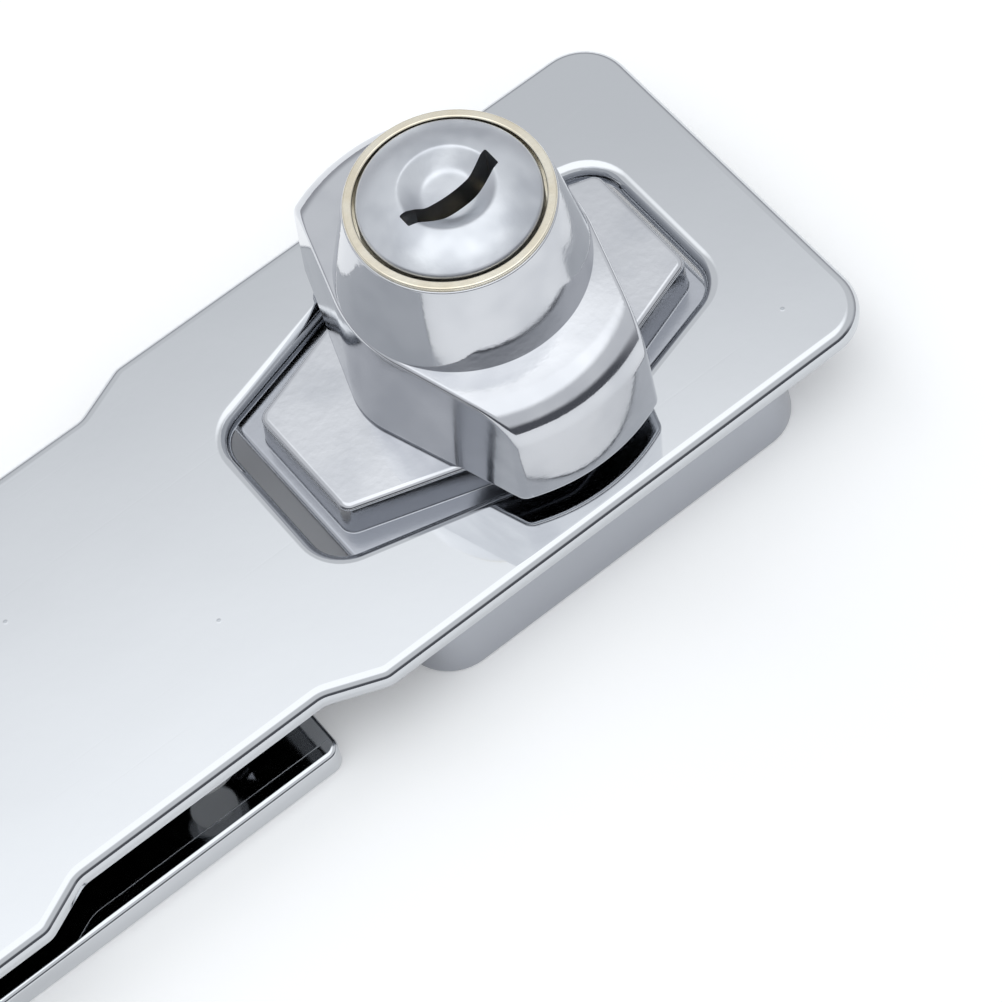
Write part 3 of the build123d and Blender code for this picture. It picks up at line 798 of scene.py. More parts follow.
@dataclass
class Leaf:
    """Fixed leaf: shallow tray with dimpled screw holes, a joggle and two knuckles."""

    hinge: Hinge
    end_reach: float = 27.0
    height: float = 2.45
    corner: float = 1.2
    edge_round: float = 0.5
    lip_round: float = 0.15
    joggle_length: float = 3.0
    joggle_foot: float = 1.2
    joggle_round: float = 1.2
    hole_radius: float = 1.8
    head_radius: float = 3.6
    hole_spacing_x: float = 24.0
    hole_spacing_y: float = 21.0
    hole_margin: float = 8.7
    dimple_wall: float = 0.9

    def holes(self) -> list[tuple[float, float]]:
        """Centres of the four screw holes."""
        near = -self.end_reach - self.hole_margin
        half = self.hole_spacing_y / 2
        return [(x, y) for x in (near, near - self.hole_spacing_x) for y in (-half, half)]

    def build(self) -> bpy.types.Object:
        """Builds the leaf as one surface."""
        skin = Skin()
        sheet, half, back = self.hinge.sheet, self.hinge.width / 2, self.hinge.back
        tray_back = back + self.joggle_foot + self.joggle_length
        under = self.height - sheet
        reach, corner = -self.end_reach, self.corner
        outline = bend((tray_back, -half), (reach, -half, corner), (reach, half, corner), (tray_back, half))
        lip, top = self.lip_round, self.height
        rim = rim_section(sheet, 0.0, top, lip, self.edge_round)
        walls = carry(outline, rim)
        skin.grid(walls)
        bore, head = self.hole_radius, self.head_radius
        sink, foot = head - bore, bore + self.dimple_wall
        mouth = foot + sink / (under + sheet / 2) * under
        hole = bend((mouth, under), (foot, 0, lip), (bore, 0, lip), (bore, top - sink), (head, top))
        bottoms, tops = skin.drill(flip(hole), self.holes())
        skin.fill([walls[0][-1]] + tops, UP)
        skin.fill([walls[0][0]] + bottoms, DOWN)
        close_rim(skin, rim, under, tray_back, half)
        self._joggle(skin, tray_back)
        for start, end in self.hinge.spans(1):
            self.hinge.roll(skin, start, end, False, self.edge_round)
        return skin.build("leaf_plate")

    def _joggle(self, skin: Skin, tray_back: float) -> None:
        """Adds the step down to the hinge and the wall between the tongues.

        Upright sections of the sheet follow a line that slopes down and runs level, and each
        keeps the tray's edge round on top.
        """
        sheet, half, back = self.hinge.sheet, self.hinge.width / 2, self.hinge.back
        foot = back + self.joggle_foot
        line, facing = flip(bend((back, sheet), (foot, sheet, self.joggle_round), (tray_back, self.height)))
        spans = self.hinge.spans(1)
        cuts = [y for span in spans for y in span]
        corners = [(-half, -sheet), *[(y, -sheet) for y in cuts], (half, -sheet), (half, 0.0), (-half, 0.0)]
        radii = [SHARP] * (len(cuts) + 2) + [self.edge_round, self.edge_round]
        section, sides = rounded_path(corners, radii)
        points = np.broadcast_arrays(line[:, :1], section[:, 0], line[:, 1:] + section[:, 1])
        normals = np.broadcast_arrays(facing[:, :1] * sides[:, 1], sides[:, 0], facing[:, 1:] * sides[:, 1])
        skin.grid((np.stack(points, axis=-1), np.stack(normals, axis=-1)), wrap=True)
        edges = [-half, *cuts, half]
        for low, high in zip(edges[::2], edges[1::2]):
            radii = [SHARP, SHARP] + [self.edge_round if abs(end) >= half else SHARP for end in (high, low)]
            wall, _ = rounded_path([(low, 0.0), (high, 0.0), (high, sheet), (low, sheet)], radii)
            skin.fill([np.column_stack([np.full(len(wall), back), wall])], AWAY)


@dataclass
class Base:
    """Die-cast base: drafted block and boss, bore, bolt pockets and cored underside."""

    shift: float = -0.5
    length: float = 35.8
    width: float = 35.0
    height: float = 5.8
    corner: float = 4.0
    draft: float = 5.0
    top_round: float = 0.5
    foot_round: float = 0.25
    boss_top: float = 9.15
    boss_length: float = 32.4
    boss_end_width: float = 10.7
    boss_mid_width: float = 21.7
    boss_corner: float = 1.0
    boss_draft: float = 3.0
    boss_round: float = 0.5
    boss_foot_round: float = 0.12
    bore_radius: float = 6.55
    recess_radius: float = 10.0
    recess_depth: float = 3.4
    hole_radius: float = 2.0
    head_radius: float = 3.5
    hole_spacing_x: float = 25.0
    hole_spacing_y: float = 25.4
    core_depth: float = 2.6
    core_wall: float = 2.2
    core_land: float = 2.0
    core_columns: int = 720
    pocket_reach: float = 8.77
    pocket_side: float = 3.35
    pocket_low: float = 5.1
    pocket_high: float = 8.4

    def holes(self) -> list[tuple[float, float]]:
        """Centres of the four screw holes."""
        x, y = self.hole_spacing_x / 2, self.hole_spacing_y / 2
        return [(-x, -y), (x, -y), (x, y), (-x, y)]

    def core_reach(self, angles: np.ndarray) -> np.ndarray:
        """Distance from the knob's axis to the outer wall of the core, by angle.

        It is the nearest of the four inner walls and the four round lands of the screws.
        """
        x, y = np.cos(angles), np.sin(angles)
        half_x, half_y = self.length / 2 - self.core_wall, self.width / 2 - self.core_wall
        with np.errstate(divide="ignore"):
            side = np.where(x > 0, (self.shift + half_x) / x, (self.shift - half_x) / x)
            end = half_y / np.abs(y)
        reach = np.minimum(side, end)
        for hole_x, hole_y in self.holes():
            along = x * hole_x + y * hole_y
            across = np.abs(x * hole_y - y * hole_x)
            inside = (across < self.head_radius) & (along > 0)
            depth = np.sqrt(np.maximum(self.head_radius**2 - across**2, 0.0))
            reach = np.where(inside, np.minimum(reach, along - depth), reach)
        return reach

    def build(self) -> bpy.types.Object:
        """Builds the base as one closed surface."""
        skin = Skin()
        block = oblong(self.shift, self.length, self.width, self.corner)
        inset = self.height * math.tan(math.radians(self.draft))
        foot, top, height = self.foot_round, self.top_round, self.height
        wall = bend((-foot, 0), (0, 0, foot), (-inset, height, top), (-inset - top, height))
        sides = carry(block, wall)
        skin.grid(sides, wrap=True)
        widths = (self.boss_end_width, self.boss_mid_width)
        boss = hexagon(self.shift, self.boss_length, *widths, self.boss_corner)
        spread = (self.boss_top - self.height) * math.tan(math.radians(self.boss_draft))
        foot, top, crest = self.boss_foot_round, self.boss_round, self.boss_top
        steps = bend((spread + foot, height), (spread, height, foot), (0, crest, top), (-top, crest))
        stair = carry(boss, steps)
        skin.grid(stair, wrap=True)
        turn = self._bore(skin)
        bore, head = self.hole_radius, self.head_radius
        screw = bend((bore, 0), (bore, height - (head - bore)), (head, height))
        feet, tops = skin.drill(flip(screw), self.holes())
        skin.fill([sides[0][-1], stair[0][0]] + tops, UP)
        skin.fill([stair[0][-1], ring(self.bore_radius, turn, self.boss_top)], UP)
        self._core(skin, sides[0][0], feet, turn)
        return skin.build("base_block")

    def _bore(self, skin: Skin) -> np.ndarray:
        """Adds the recess and the bore with the two pockets that the locking bolt enters.

        Args:
            skin: The mesh in the making.

        Returns:
            The angles of the bore's columns.
        """
        quarter_turn = math.pi / 2
        lean = math.asin(self.pocket_side / self.bore_radius)
        mouth = arc(self.bore_radius, -lean, lean)
        between = arc(self.bore_radius, lean, quarter_turn - lean)
        rest = arc(self.bore_radius, quarter_turn + lean, 2 * math.pi - lean)
        bore, _ = join(mouth, between, quarter(mouth, 1), rest)
        turn = np.arctan2(bore[:, 1], bore[:, 0])
        wide, narrow, depth = self.recess_radius, self.bore_radius, self.recess_depth
        skin.turn(flip(bend((wide, 0), (wide, depth), (narrow, depth), (narrow, self.pocket_low))), turn)
        skin.turn(flip(bend((narrow, self.pocket_high), (narrow, self.boss_top))), turn)
        for land in (between, rest):
            skin.upright(land, self.pocket_low, self.pocket_high)
        start = self.bore_radius * math.cos(lean)
        side, reach = self.pocket_side, self.pocket_reach
        pocket = bend((start, -side), (reach, -side), (reach, side), (start, side))
        for turns in (0, 1):
            wall = quarter(pocket, turns)
            face = np.concatenate([wall[0], quarter(mouth, turns)[0][::-1]])
            skin.upright(wall, self.pocket_low, self.pocket_high)
            skin.caps([face], self.pocket_low, self.pocket_high)
        return turn

    def _core(self, skin: Skin, foot: np.ndarray, feet: list[np.ndarray], turn: np.ndarray) -> None:
        """Adds the underside: the foot's face, the core's two walls and its ceiling, and the inner land."""
        fine = even_angles(self.core_columns)
        outer = circle((0.0, 0.0), 1.0, fine)[1] * self.core_reach(fine)[:, None]
        along = np.roll(outer, -1, axis=0) - np.roll(outer, 1, axis=0)
        inwards = np.column_stack([-along[:, 1], along[:, 0]])
        inwards = inwards / np.linalg.norm(inwards, axis=1, keepdims=True)
        skin.upright((outer, -inwards), 0.0, self.core_depth, wrap=True)
        post, round_side = circle((0.0, 0.0), self.recess_radius + self.core_land, turn)
        skin.upright((post, -round_side), 0.0, self.core_depth, wrap=True)
        skin.fill([at_level(outer, self.core_depth), at_level(post, self.core_depth)], DOWN)
        skin.fill([foot, at_level(outer, 0.0)] + feet, DOWN)
        skin.fill([at_level(post, 0.0), ring(self.recess_radius, turn, 0.0)], DOWN)


@dataclass
class Knob:
    """Die-cast knob: lobed body, cone, cylinder cavity and hub."""

    bottom: float = 9.25
    shoulder: float = 19.3
    lobe_radius: float = 15.0
    lobe_draft: float = 2.0
    shoulder_slope: float = 4.0
    top_round: float = 2.7
    bottom_round: float = 0.3
    flank_round: float = 0.35
    start: tuple[float, float] = (2.0, 3.9)
    start_width: tuple[float, float] = (10.35, 8.95)
    end_width: tuple[float, float] = (5.5, 5.1)
    end_reach: float = 16.0
    cone_base: float = 9.5
    cone_top_radius: float = 7.75
    cone_top: float = 26.95
    cone_round: float = 0.15
    cavity_radius: float = 7.32
    cavity_round: float = 0.05
    cavity_floor: float = 11.15
    cam_bore: float = 2.88
    slot_back: float = -4.58
    slot_side: float = 3.28
    slot_low: float = 5.17
    slot_high: float = 8.33
    hub_radius: float = 6.5
    hub_end: float = 0.6
    groove_low: float = 1.2
    groove_high: float = 1.8
    groove_depth: float = 0.6
    core_radius: float = 3.0
    core_depth: float = 2.6
    core_round: float = 0.15
    hub_round: float = 0.2
    columns: int = 440
    rows: int = 148
    heart: tuple[float, float] = (5.0, 14.0)
    draft_columns: int = 2881
    draft_rows: int = 700
    belt_tilt: float = -0.12
    ray_length: float = 20.0
    halvings: int = 40
    probe: float = 0.002
    turning_share: float = 1.6

    def depth(self, x: np.ndarray, y: np.ndarray, z: np.ndarray) -> np.ndarray:
        """Signed depth of points below the lobed body's skin, negative inside.

        The body is where the lobes' cone, the sloped shoulder, the flanks and the bottom overlap.
        Two forms a and b meet in a round of radius k: the length of (a + k, b + k) where both are
        positive, less k. The flank is a parabola at the waist, then a straight line.
        """
        radius = np.hypot(x, y)
        share = (z - self.bottom) / (self.shoulder - self.bottom)
        draft, slope = math.radians(self.lobe_draft), math.radians(self.shoulder_slope)
        lobe = (radius - self.lobe_radius + (z - self.bottom) * math.tan(draft)) * math.cos(draft)
        roof = (z - self.shoulder + (radius - self.cone_base) * math.tan(slope)) * math.cos(slope)
        spans = (self.start, self.start_width, self.end_width)
        start, begin, end = (low + share * (high - low) for low, high in spans)
        lean = (begin - end) / (self.end_reach - start)
        reach = np.abs(y)
        straight = begin - lean * (reach - start)
        bowed = begin + lean * (start**2 - reach**2) / (2 * start)
        slant = lean * np.minimum(reach / start, 1.0)
        flank = (np.abs(x) - np.where(reach > start, straight, bowed)) / np.sqrt(1 + slant**2)
        body = self.meet(lobe, roof, self.top_round)
        body = self.meet(body, flank, self.flank_round)
        return self.meet(body, self.bottom - z, self.bottom_round)

    @staticmethod
    def meet(first: np.ndarray, second: np.ndarray, radius: float) -> np.ndarray:
        """Overlap of two forms with a round of the given radius along their edge."""
        outer = np.hypot(np.maximum(first + radius, 0.0), np.maximum(second + radius, 0.0))
        return outer + np.minimum(np.maximum(first, second), -radius)

    def cast(self, angles: np.ndarray, tilts: np.ndarray) -> np.ndarray:
        """Points where rays from a ring inside the body leave its skin.

        Args:
            angles: Angle of each column about the axis.
            tilts: Tilt of each ray above the level, rows by columns.

        Returns:
            Points, rows by columns by 3, found by halving the ray's length many times.
        """
        low, high = np.zeros_like(tilts), np.full_like(tilts, self.ray_length)
        for _ in range(self.halvings):
            middle = (low + high) / 2
            inside = self.depth(*self._along(angles, tilts, middle)) < 0
            low, high = np.where(inside, middle, low), np.where(inside, high, middle)
        return np.stack(self._along(angles, tilts, low), axis=-1)

    def _along(self, angles: np.ndarray, tilts: np.ndarray, far: np.ndarray) -> tuple:
        """Coordinates at a distance along each ray."""
        radius = self.heart[0] + far * np.cos(tilts)
        level = self.heart[1] + far * np.sin(tilts)
        return radius * np.cos(angles), radius * np.sin(angles), level

    def normals(self, points: np.ndarray) -> np.ndarray:
        """Gradient of the depth, by central differences."""
        parts = []
        for shift in np.eye(3) * self.probe:
            ahead = self.depth(*np.moveaxis(points + shift, -1, 0))
            behind = self.depth(*np.moveaxis(points - shift, -1, 0))
            parts.append(ahead - behind)
        return np.stack(parts, axis=-1)

    def spread(self, points: np.ndarray, normals: np.ndarray, count: int) -> np.ndarray:
        """Spreads samples along lines by length plus turning.

        Args:
            points: Points along the first axis.
            normals: Their normals.
            count: How many samples to keep.

        Returns:
            Positions between nought and one less than the points' number, count by lines.
        """
        unit = normals / np.linalg.norm(normals, axis=-1, keepdims=True)
        length = np.linalg.norm(np.diff(points, axis=0), axis=-1)
        turning = np.linalg.norm(np.diff(unit, axis=0), axis=-1)
        weight = length / length.sum(axis=0) + self.turning_share * turning / turning.sum(axis=0)
        total = np.concatenate([np.zeros((1, weight.shape[1])), np.cumsum(weight, axis=0)])
        marks, index = np.linspace(0.0, 1.0, count), np.arange(len(points))
        return np.stack([np.interp(marks * line[-1], line, index) for line in total.T], axis=1)

    def build(self) -> bpy.types.Object:
        """Builds the knob as one surface: the cast skin, then turned cone, cavity and hub.

        Above the flanks the cast skin's first row lies just inside and below the cone's foot, so
        a slit of less than 0.1 mm stays open there.
        """
        skin = Skin()
        top = math.atan2(self.shoulder - self.heart[1], self.cone_base - self.heart[0])
        foot = math.atan2(self.bottom - self.heart[1], self.hub_radius - self.heart[0])
        coarse = np.linspace(0.0, 2 * math.pi, self.draft_columns)
        belt = self.cast(coarse[:, None], np.full((len(coarse), 1), self.belt_tilt))
        places = self.spread(belt, self.normals(belt), self.columns + 1)[:, 0]
        lean = math.asin(self.slot_side / self.hub_radius)
        angles = np.interp(places, np.arange(len(coarse)), coarse)[:-1]
        angles = np.sort(np.append(angles, [lean, 2 * math.pi - lean]))
        tilts = np.linspace(top, foot, self.draft_rows)[:, None] * np.ones((1, len(angles)))
        draft = self.cast(angles[None, :], tilts)
        rows = self.spread(draft, self.normals(draft), self.rows)
        tilts = top + (foot - top) * rows / (self.draft_rows - 1)
        tilts[0], tilts[-1] = top, foot
        points = self.cast(angles[None, :], tilts)
        skin.grid((points, self.normals(points)), wrap=True)
        self._turned(skin, angles)
        self._slot(skin, angles, lean)
        return skin.build("knob_cast")

    def _turned(self, skin: Skin, angles: np.ndarray) -> None:
        """Adds the parts turned about the axis: cone and cavity above, hub and groove below."""
        cavity, floor, cam, top = self.cavity_radius, self.cavity_floor, self.cam_bore, self.cone_top
        above = bend(
            (self.cone_base, self.shoulder),
            (self.cone_top_radius, top, self.cone_round),
            (cavity, top, self.cavity_round),
            (cavity, floor),
            (cam, floor),
            (cam, self.slot_high),
        )
        skin.turn(above, angles)
        groove = self.hub_radius - self.groove_depth
        core, hub, end = self.core_radius, self.hub_radius, self.hub_end
        roof = end + self.core_depth
        below = bend(
            (0, roof),
            (core, roof),
            (core, end, self.core_round),
            (hub, end, self.hub_round),
            (hub, self.groove_low),
            (groove, self.groove_low),
            (groove, self.groove_high),
            (hub, self.groove_high),
            (hub, self.slot_low),
        )
        skin.turn(below, angles)
        skin.turn(bend((hub, self.slot_high), (hub, self.bottom)), angles)

    def _slot(self, skin: Skin, angles: np.ndarray, lean: float) -> None:
        """Adds the hub's slot for the locking bolt, open towards +X and into the cam's bore.

        Args:
            skin: The mesh in the making.
            angles: The angles of the hub's columns.
            lean: Half the angle of the slot's mouth.
        """
        solid = angles[(angles > lean - SHARP) & (angles < 2 * math.pi - lean + SHARP)]
        skin.upright(flip(circle((0.0, 0.0), self.hub_radius, solid)), self.slot_low, self.slot_high)
        start = self.hub_radius * math.cos(lean)
        side, back = self.slot_side, self.slot_back
        wall = bend((start, side), (back, side), (back, -side), (start, -side))
        skin.upright(wall, self.slot_low, self.slot_high)
        below = angles[angles > 2 * math.pi - lean + SHARP] - 2 * math.pi
        mouth, _ = circle((0.0, 0.0), self.hub_radius, np.append(below, angles[angles < lean - SHARP]))
        face = np.concatenate([wall[0], mouth])
        skin.fill([at_level(face, self.slot_low)], UP)
        skin.fill([at_level(face, self.slot_high), ring(self.cam_bore, angles, self.slot_high)], DOWN)


@dataclass
class Shell:
    """Brass shell whose flanged rim shows as a ring round the plug."""

    radius: float = 7.3
    flange_radius: float = 7.65
    flange_low: float = 26.95
    top: float = 27.3
    bottom: float = 12.65
    flange_round: float = 0.15
    flange_low_round: float = 0.08
    foot_round: float = 0.2
    counterbore_radius: float = 6.95
    counterbore_depth: float = 1.75
    bore_radius: float = 5.65
    groove_reach: float = 6.75
    groove_side: float = 2.45
    groove_low: float = 13.91
    groove_high: float = 24.71

    def build(self) -> bpy.types.Object:
        """Builds the shell: its turned half section, then the four broached wafer grooves."""
        skin = Skin()
        lean = math.asin(self.groove_side / self.bore_radius)
        mouth = arc(self.bore_radius, -lean, lean)
        land = arc(self.bore_radius, lean, math.pi / 2 - lean)
        hole, _ = join(*[quarter(part, turns) for turns in range(4) for part in (mouth, land)])
        bore, radius = self.bore_radius, self.radius
        flange, well = self.flange_radius, self.counterbore_radius
        top, step, soft = self.top, self.top - self.counterbore_depth, self.flange_round
        section = bend(
            (bore, self.groove_low),
            (bore, self.bottom),
            (radius, self.bottom, self.foot_round),
            (radius, self.flange_low),
            (flange, self.flange_low, self.flange_low_round),
            (flange, top, soft),
            (well, top, soft),
            (well, step),
            (bore, step),
            (bore, self.groove_high),
        )
        skin.turn(section, np.arctan2(hole[:, 1], hole[:, 0]))
        tip = math.asin(self.groove_side / self.groove_reach)
        far = arc(self.groove_reach, -tip, tip)
        inner, outer = mouth[0][0, 0], far[0][0, 0]
        side = self.groove_side
        low_side, high_side = bend((inner, -side), (outer, -side)), bend((outer, side), (inner, side))
        for turns in range(4):
            for part in (land, low_side, far, high_side):
                skin.upright(quarter(part, turns), self.groove_low, self.groove_high)
            face = np.concatenate([quarter(far, turns)[0], quarter(mouth, turns)[0][::-1]])
            skin.caps([face], self.groove_low, self.groove_high)
        return skin.build("shell_ring")


@dataclass
class Plug:
    """Plug with a domed and dished head, keyway and square tail."""

    radius: float = 5.6
    head_radius: float = 6.75
    head_bottom: float = 25.61
    head_edge: float = 27.4
    dome_top: float = 28.7
    dome_crown: float = 0.22
    dish_radius: float = 3.5
    dish_depth: float = 1.0
    floor_radius: float = 2.0
    bottom: float = 11.4
    tail_side: float = 3.2
    tail_round: float = 0.2
    foot_round: float = 0.3
    tail_bottom: float = 9.55
    keyway_length: float = 8.0
    keyway_width: float = 1.55
    keyway_bow: float = 0.8
    keyway_floor: float = 12.65
    keyway_corner: float = 0.12
    ward_length: float = 1.4
    ward_width: float = 0.45
    edge_round: float = 0.25
    wafer_front: float = 23.71
    wafer_pitch: float = 2.2
    wafer_count: int = 5
    slot_half: float = 0.55
    slot_side: float = 2.25
    notch_side: float = 3.5
    notch_ends: tuple[float, float] = (-3.4, 1.55)
    clip_radius: float = 4.9
    clip_low: float = 12.1
    clip_high: float = 12.6
    ray_step: float = 0.026
    side_points: int = 61
    ring_spans: tuple[tuple[float, float, int], ...] = (
        (0.2, 1.6, 6), (1.75, 2.3, 8), (2.5, 3.1, 4), (3.2, 3.85, 12), (4.1, 6.4, 12)
    )
    edge_rows: int = 8
    floor_soft: float = 0.07
    rim_soft: float = 0.05
    probe: float = 0.001
    steep: float = -1e3

    def height(self, radius: np.ndarray) -> np.ndarray:
        """Level of the head's face by distance from the axis.

        It is the lower of the dome and the dish, blended over a short width: the dome falls from
        the dish's rim to the edge as a straight line plus a crown, and the dish falls inwards to
        a flat floor.
        """
        span = self.head_radius - self.dish_radius
        share = (radius - self.dish_radius) / span
        dome = self.dome_top - (self.dome_top - self.head_edge) * share
        dome = dome + 4 * self.dome_crown * share * (1 - share)
        fall = self.dish_depth / (self.dish_radius - self.floor_radius)
        dish = self.dome_top - fall * (self.dish_radius - radius)
        low = self.dome_top - self.dish_depth
        dish = low + np.logaddexp(0.0, (dish - low) / self.floor_soft) * self.floor_soft
        face = -self.rim_soft * np.logaddexp(-dome / self.rim_soft, -dish / self.rim_soft)
        inset = np.maximum(radius - (self.head_radius - self.edge_round), 0.0)
        return face - (self.edge_round - np.sqrt(np.maximum(self.edge_round**2 - inset**2, 0.0)))

    def keyway(self) -> Line:
        """Plan of the bowed keyway with its ward, and normals that point into the metal.

        Its long sides are arcs whose middle lies lower than their ends by the bow.
        """
        half, side = self.keyway_length / 2, self.keyway_width / 2
        across = np.linspace(-half, half, self.side_points)
        bow = self.keyway_bow * (1 - (across / half) ** 2)
        roof = np.where(across < -half + self.ward_length, side - self.ward_width, side)
        lower = np.stack([across, -side - bow], axis=1)
        upper = np.stack([across, np.minimum(side - bow, roof)], axis=1)[::-1]
        radii = [self.keyway_corner] + [0.0] * (len(across) - 2) + [self.keyway_corner]
        return rounded_path([*map(tuple, lower), *map(tuple, upper)], radii + radii)

    def finer(self, line: Line, centre: np.ndarray) -> Line:
        """Closed line with points added so that rays from a centre to it are never far apart.

        Args:
            line: Points and normals of the line.
            centre: Where the rays start.

        Returns:
            Points and normals of the finer line.
        """
        points, _ = line
        arms = points - centre
        ahead = np.roll(arms, -1, axis=0)
        cross = arms[:, 0] * ahead[:, 1] - arms[:, 1] * ahead[:, 0]
        swing = np.abs(np.arctan2(cross, (arms * ahead).sum(axis=1)))
        count = np.maximum(np.ceil(swing / self.ray_step).astype(int), 1)
        index = np.repeat(np.arange(len(points)), count)
        within = np.arange(count.sum()) - np.repeat(np.cumsum(count) - count, count)
        share = (within / count[index])[:, None]
        pairs = [(part[index], np.roll(part, -1, axis=0)[index]) for part in line]
        spots, normals = (here + share * (there - here) for here, there in pairs)
        return spots, normals

    def build(self) -> bpy.types.Object:
        """Builds the plug: face, keyway walls, turned body and tail."""
        skin = Skin()
        centre = np.array([0.0, -self.keyway_bow])
        slot, outwards = self.finer(self.keyway(), centre)
        arms = slot - centre
        reach = np.linalg.norm(arms, axis=1)
        rays = arms / reach[:, None]
        along = rays @ centre
        rounding = np.sin(np.linspace(0.0, math.pi / 2, self.edge_rows))
        outer = self.head_radius - self.edge_round * (1 - rounding)
        rings = np.concatenate([*[np.linspace(*span) for span in self.ring_spans], outer])
        depth = along[None] ** 2 - centre @ centre + rings[:, None] ** 2
        far = -along[None] + np.sqrt(np.maximum(depth, 0.0))
        far = np.concatenate([reach[None], np.maximum(far, reach[None])])
        plan = centre + far[..., None] * rays[None]
        radius = np.linalg.norm(plan, axis=-1)
        small = self.probe
        rise = (self.height(radius + small) - self.height(radius - small)) / (2 * small)
        rise = np.where(radius > self.head_radius - 2 * small, self.steep, rise)
        level = self.height(np.minimum(radius, self.head_radius))
        points = np.concatenate([plan, level[..., None]], axis=-1)
        flat = plan / np.maximum(radius, SHARP)[..., None]
        normals = np.concatenate([-rise[..., None] * flat, np.ones_like(level)[..., None]], axis=-1)
        skin.grid((points, normals), wrap=True)
        first = self.wafer_front + self.slot_half
        walls = np.stack([points[0], at_level(slot, first)])
        skin.grid((walls, np.broadcast_to(at_level(-outwards, 0.0), walls.shape).copy()), wrap=True)
        angles = np.arctan2(plan[-1, :, 1], plan[-1, :, 0])
        skin.turn(bend((self.head_radius, self.head_bottom), (self.head_radius, float(level[-1, 0]))), angles)
        self._body(skin, (slot, outwards), ring(self.head_radius, angles, self.head_bottom))
        tail = oblong(0.0, self.tail_side, self.tail_side, self.tail_round)
        stem = carry(tail, bend((0, self.tail_bottom), (0, self.bottom)))
        skin.grid(stem, wrap=True)
        skin.fill([stem[0][0]], DOWN)
        skin.fill([stem[0][-1]], UP)
        return skin.build("plug_face")

    def _body(self, skin: Skin, keyway: Line, edge: np.ndarray) -> None:
        """Adds the plug below its head: whole layers, and a slotted layer for each wafer.

        A slot runs through along X and has a notch on one side for the wafer's lug and spring.

        Args:
            skin: The mesh in the making.
            keyway: Points and normals of the keyway's outline.
            edge: The head's lower edge.
        """
        lean = math.asin(self.slot_side / self.radius)
        right, left = arc(self.radius, -lean, lean), arc(self.radius, math.pi - lean, math.pi + lean)
        top = arc(self.radius, lean, math.pi - lean)
        under = arc(self.radius, math.pi + lean, 2 * math.pi - lean)
        whole = join(right, top, left, under)
        reach, side, deep = self.radius * math.cos(lean), self.slot_side, self.notch_side
        back, front = self.notch_ends
        notch = bend((reach, side), (front, side), (front, deep), (back, deep), (back, side), (-reach, side))
        near = bend((-reach, -side), (reach, -side))
        region = np.concatenate([right[0], notch[0], left[0]])
        skin.fill([edge, at_level(whole[0], self.head_bottom)], DOWN)
        high = self.head_bottom
        for index in range(self.wafer_count):
            middle = self.wafer_front - index * self.wafer_pitch
            floor, roof = middle - self.slot_half, middle + self.slot_half
            skin.upright(flip(whole), roof, high, wrap=True)
            if index > 0:
                skin.upright(keyway, roof, high, wrap=True)
            for wall in (flip(top), flip(under), notch, near):
                skin.upright(wall, floor, roof)
            skin.caps([region, keyway[0]], floor, roof)
            high = floor
        skin.upright(keyway, self.keyway_floor, high, wrap=True)
        skin.fill([at_level(keyway[0], self.keyway_floor)], UP)
        radius, groove, low, bottom = self.radius, self.clip_radius, self.clip_low, self.bottom
        foot = bend(
            (0, bottom),
            (radius, bottom, self.foot_round),
            (radius, low),
            (groove, low),
            (groove, self.clip_high),
            (radius, self.clip_high),
            (radius, high),
        )
        skin.turn(foot, np.arctan2(whole[0][:, 1], whole[0][:, 0]))


@dataclass
class Pin:
    """Hinge pin, a chamfered rod along Y."""

    hinge: Hinge
    radius: float = 2.45
    length: float = 34.9
    chamfer: float = 0.4
    edge_round: float = 0.1
    columns: int = 96

    def build(self) -> bpy.types.Object:
        """Builds the pin: a half section turned upright, then laid along Y by swapping axes."""
        skin = Skin()
        half = self.length / 2
        radius, cut, soft = self.radius, self.chamfer, self.edge_round
        section = bend(
            (0, -half),
            (radius - cut, -half, soft),
            (radius, -half + cut, soft),
            (radius, half - cut, soft),
            (radius - cut, half, soft),
            (0, half),
        )
        points, normals = carry(circle((0.0, 0.0), 0.0, even_angles(self.columns)), section)
        place = np.array([-self.hinge.reach, 0.0, self.hinge.barrel_radius])
        points = np.stack([points[..., 0], points[..., 2], -points[..., 1]], axis=-1) + place
        normals = np.stack([normals[..., 0], normals[..., 2], -normals[..., 1]], axis=-1)
        skin.grid((points, normals), wrap=True)
        return skin.build("hinge_rod")


@dataclass(frozen=True)
class PhotoCamera:
    """Camera of the photograph: its place in millimetres, the way it looks and its lens."""

    place: tuple[float, float, float] = (-68.663, -131.355, 240.110)
    right: tuple[float, float, float] = (0.78260445, -0.61295818, -0.10868553)
    down: tuple[float, float, float] = (-0.57888362, -0.65235604, -0.48920889)
    ahead: tuple[float, float, float] = (0.22896293, 0.44577333, -0.86536820)
    focal_pixels: float = 3675.4965
    frame_pixels: float = 1002.0
    sensor: float = 36.0
    clip: tuple[float, float] = (0.01, 20.0)

    def build(self) -> bpy.types.Object:
        """Makes the camera the scene's own."""
        data = bpy.data.cameras.new("photo_camera")
        data.sensor_width = self.sensor
        data.lens = self.focal_pixels / self.frame_pixels * self.sensor
        data.clip_start, data.clip_end = self.clip
        camera = bpy.data.objects.new("photo_camera", data)
        bpy.context.scene.collection.objects.link(camera)
        turn = np.column_stack([self.right, np.negative(self.down), np.negative(self.ahead)])
        matrix = Matrix(turn.tolist()).to_4x4()
        matrix.translation = np.multiply(self.place, MM).tolist()
        camera.matrix_world = matrix
        bpy.context.scene.camera = camera
        return camera


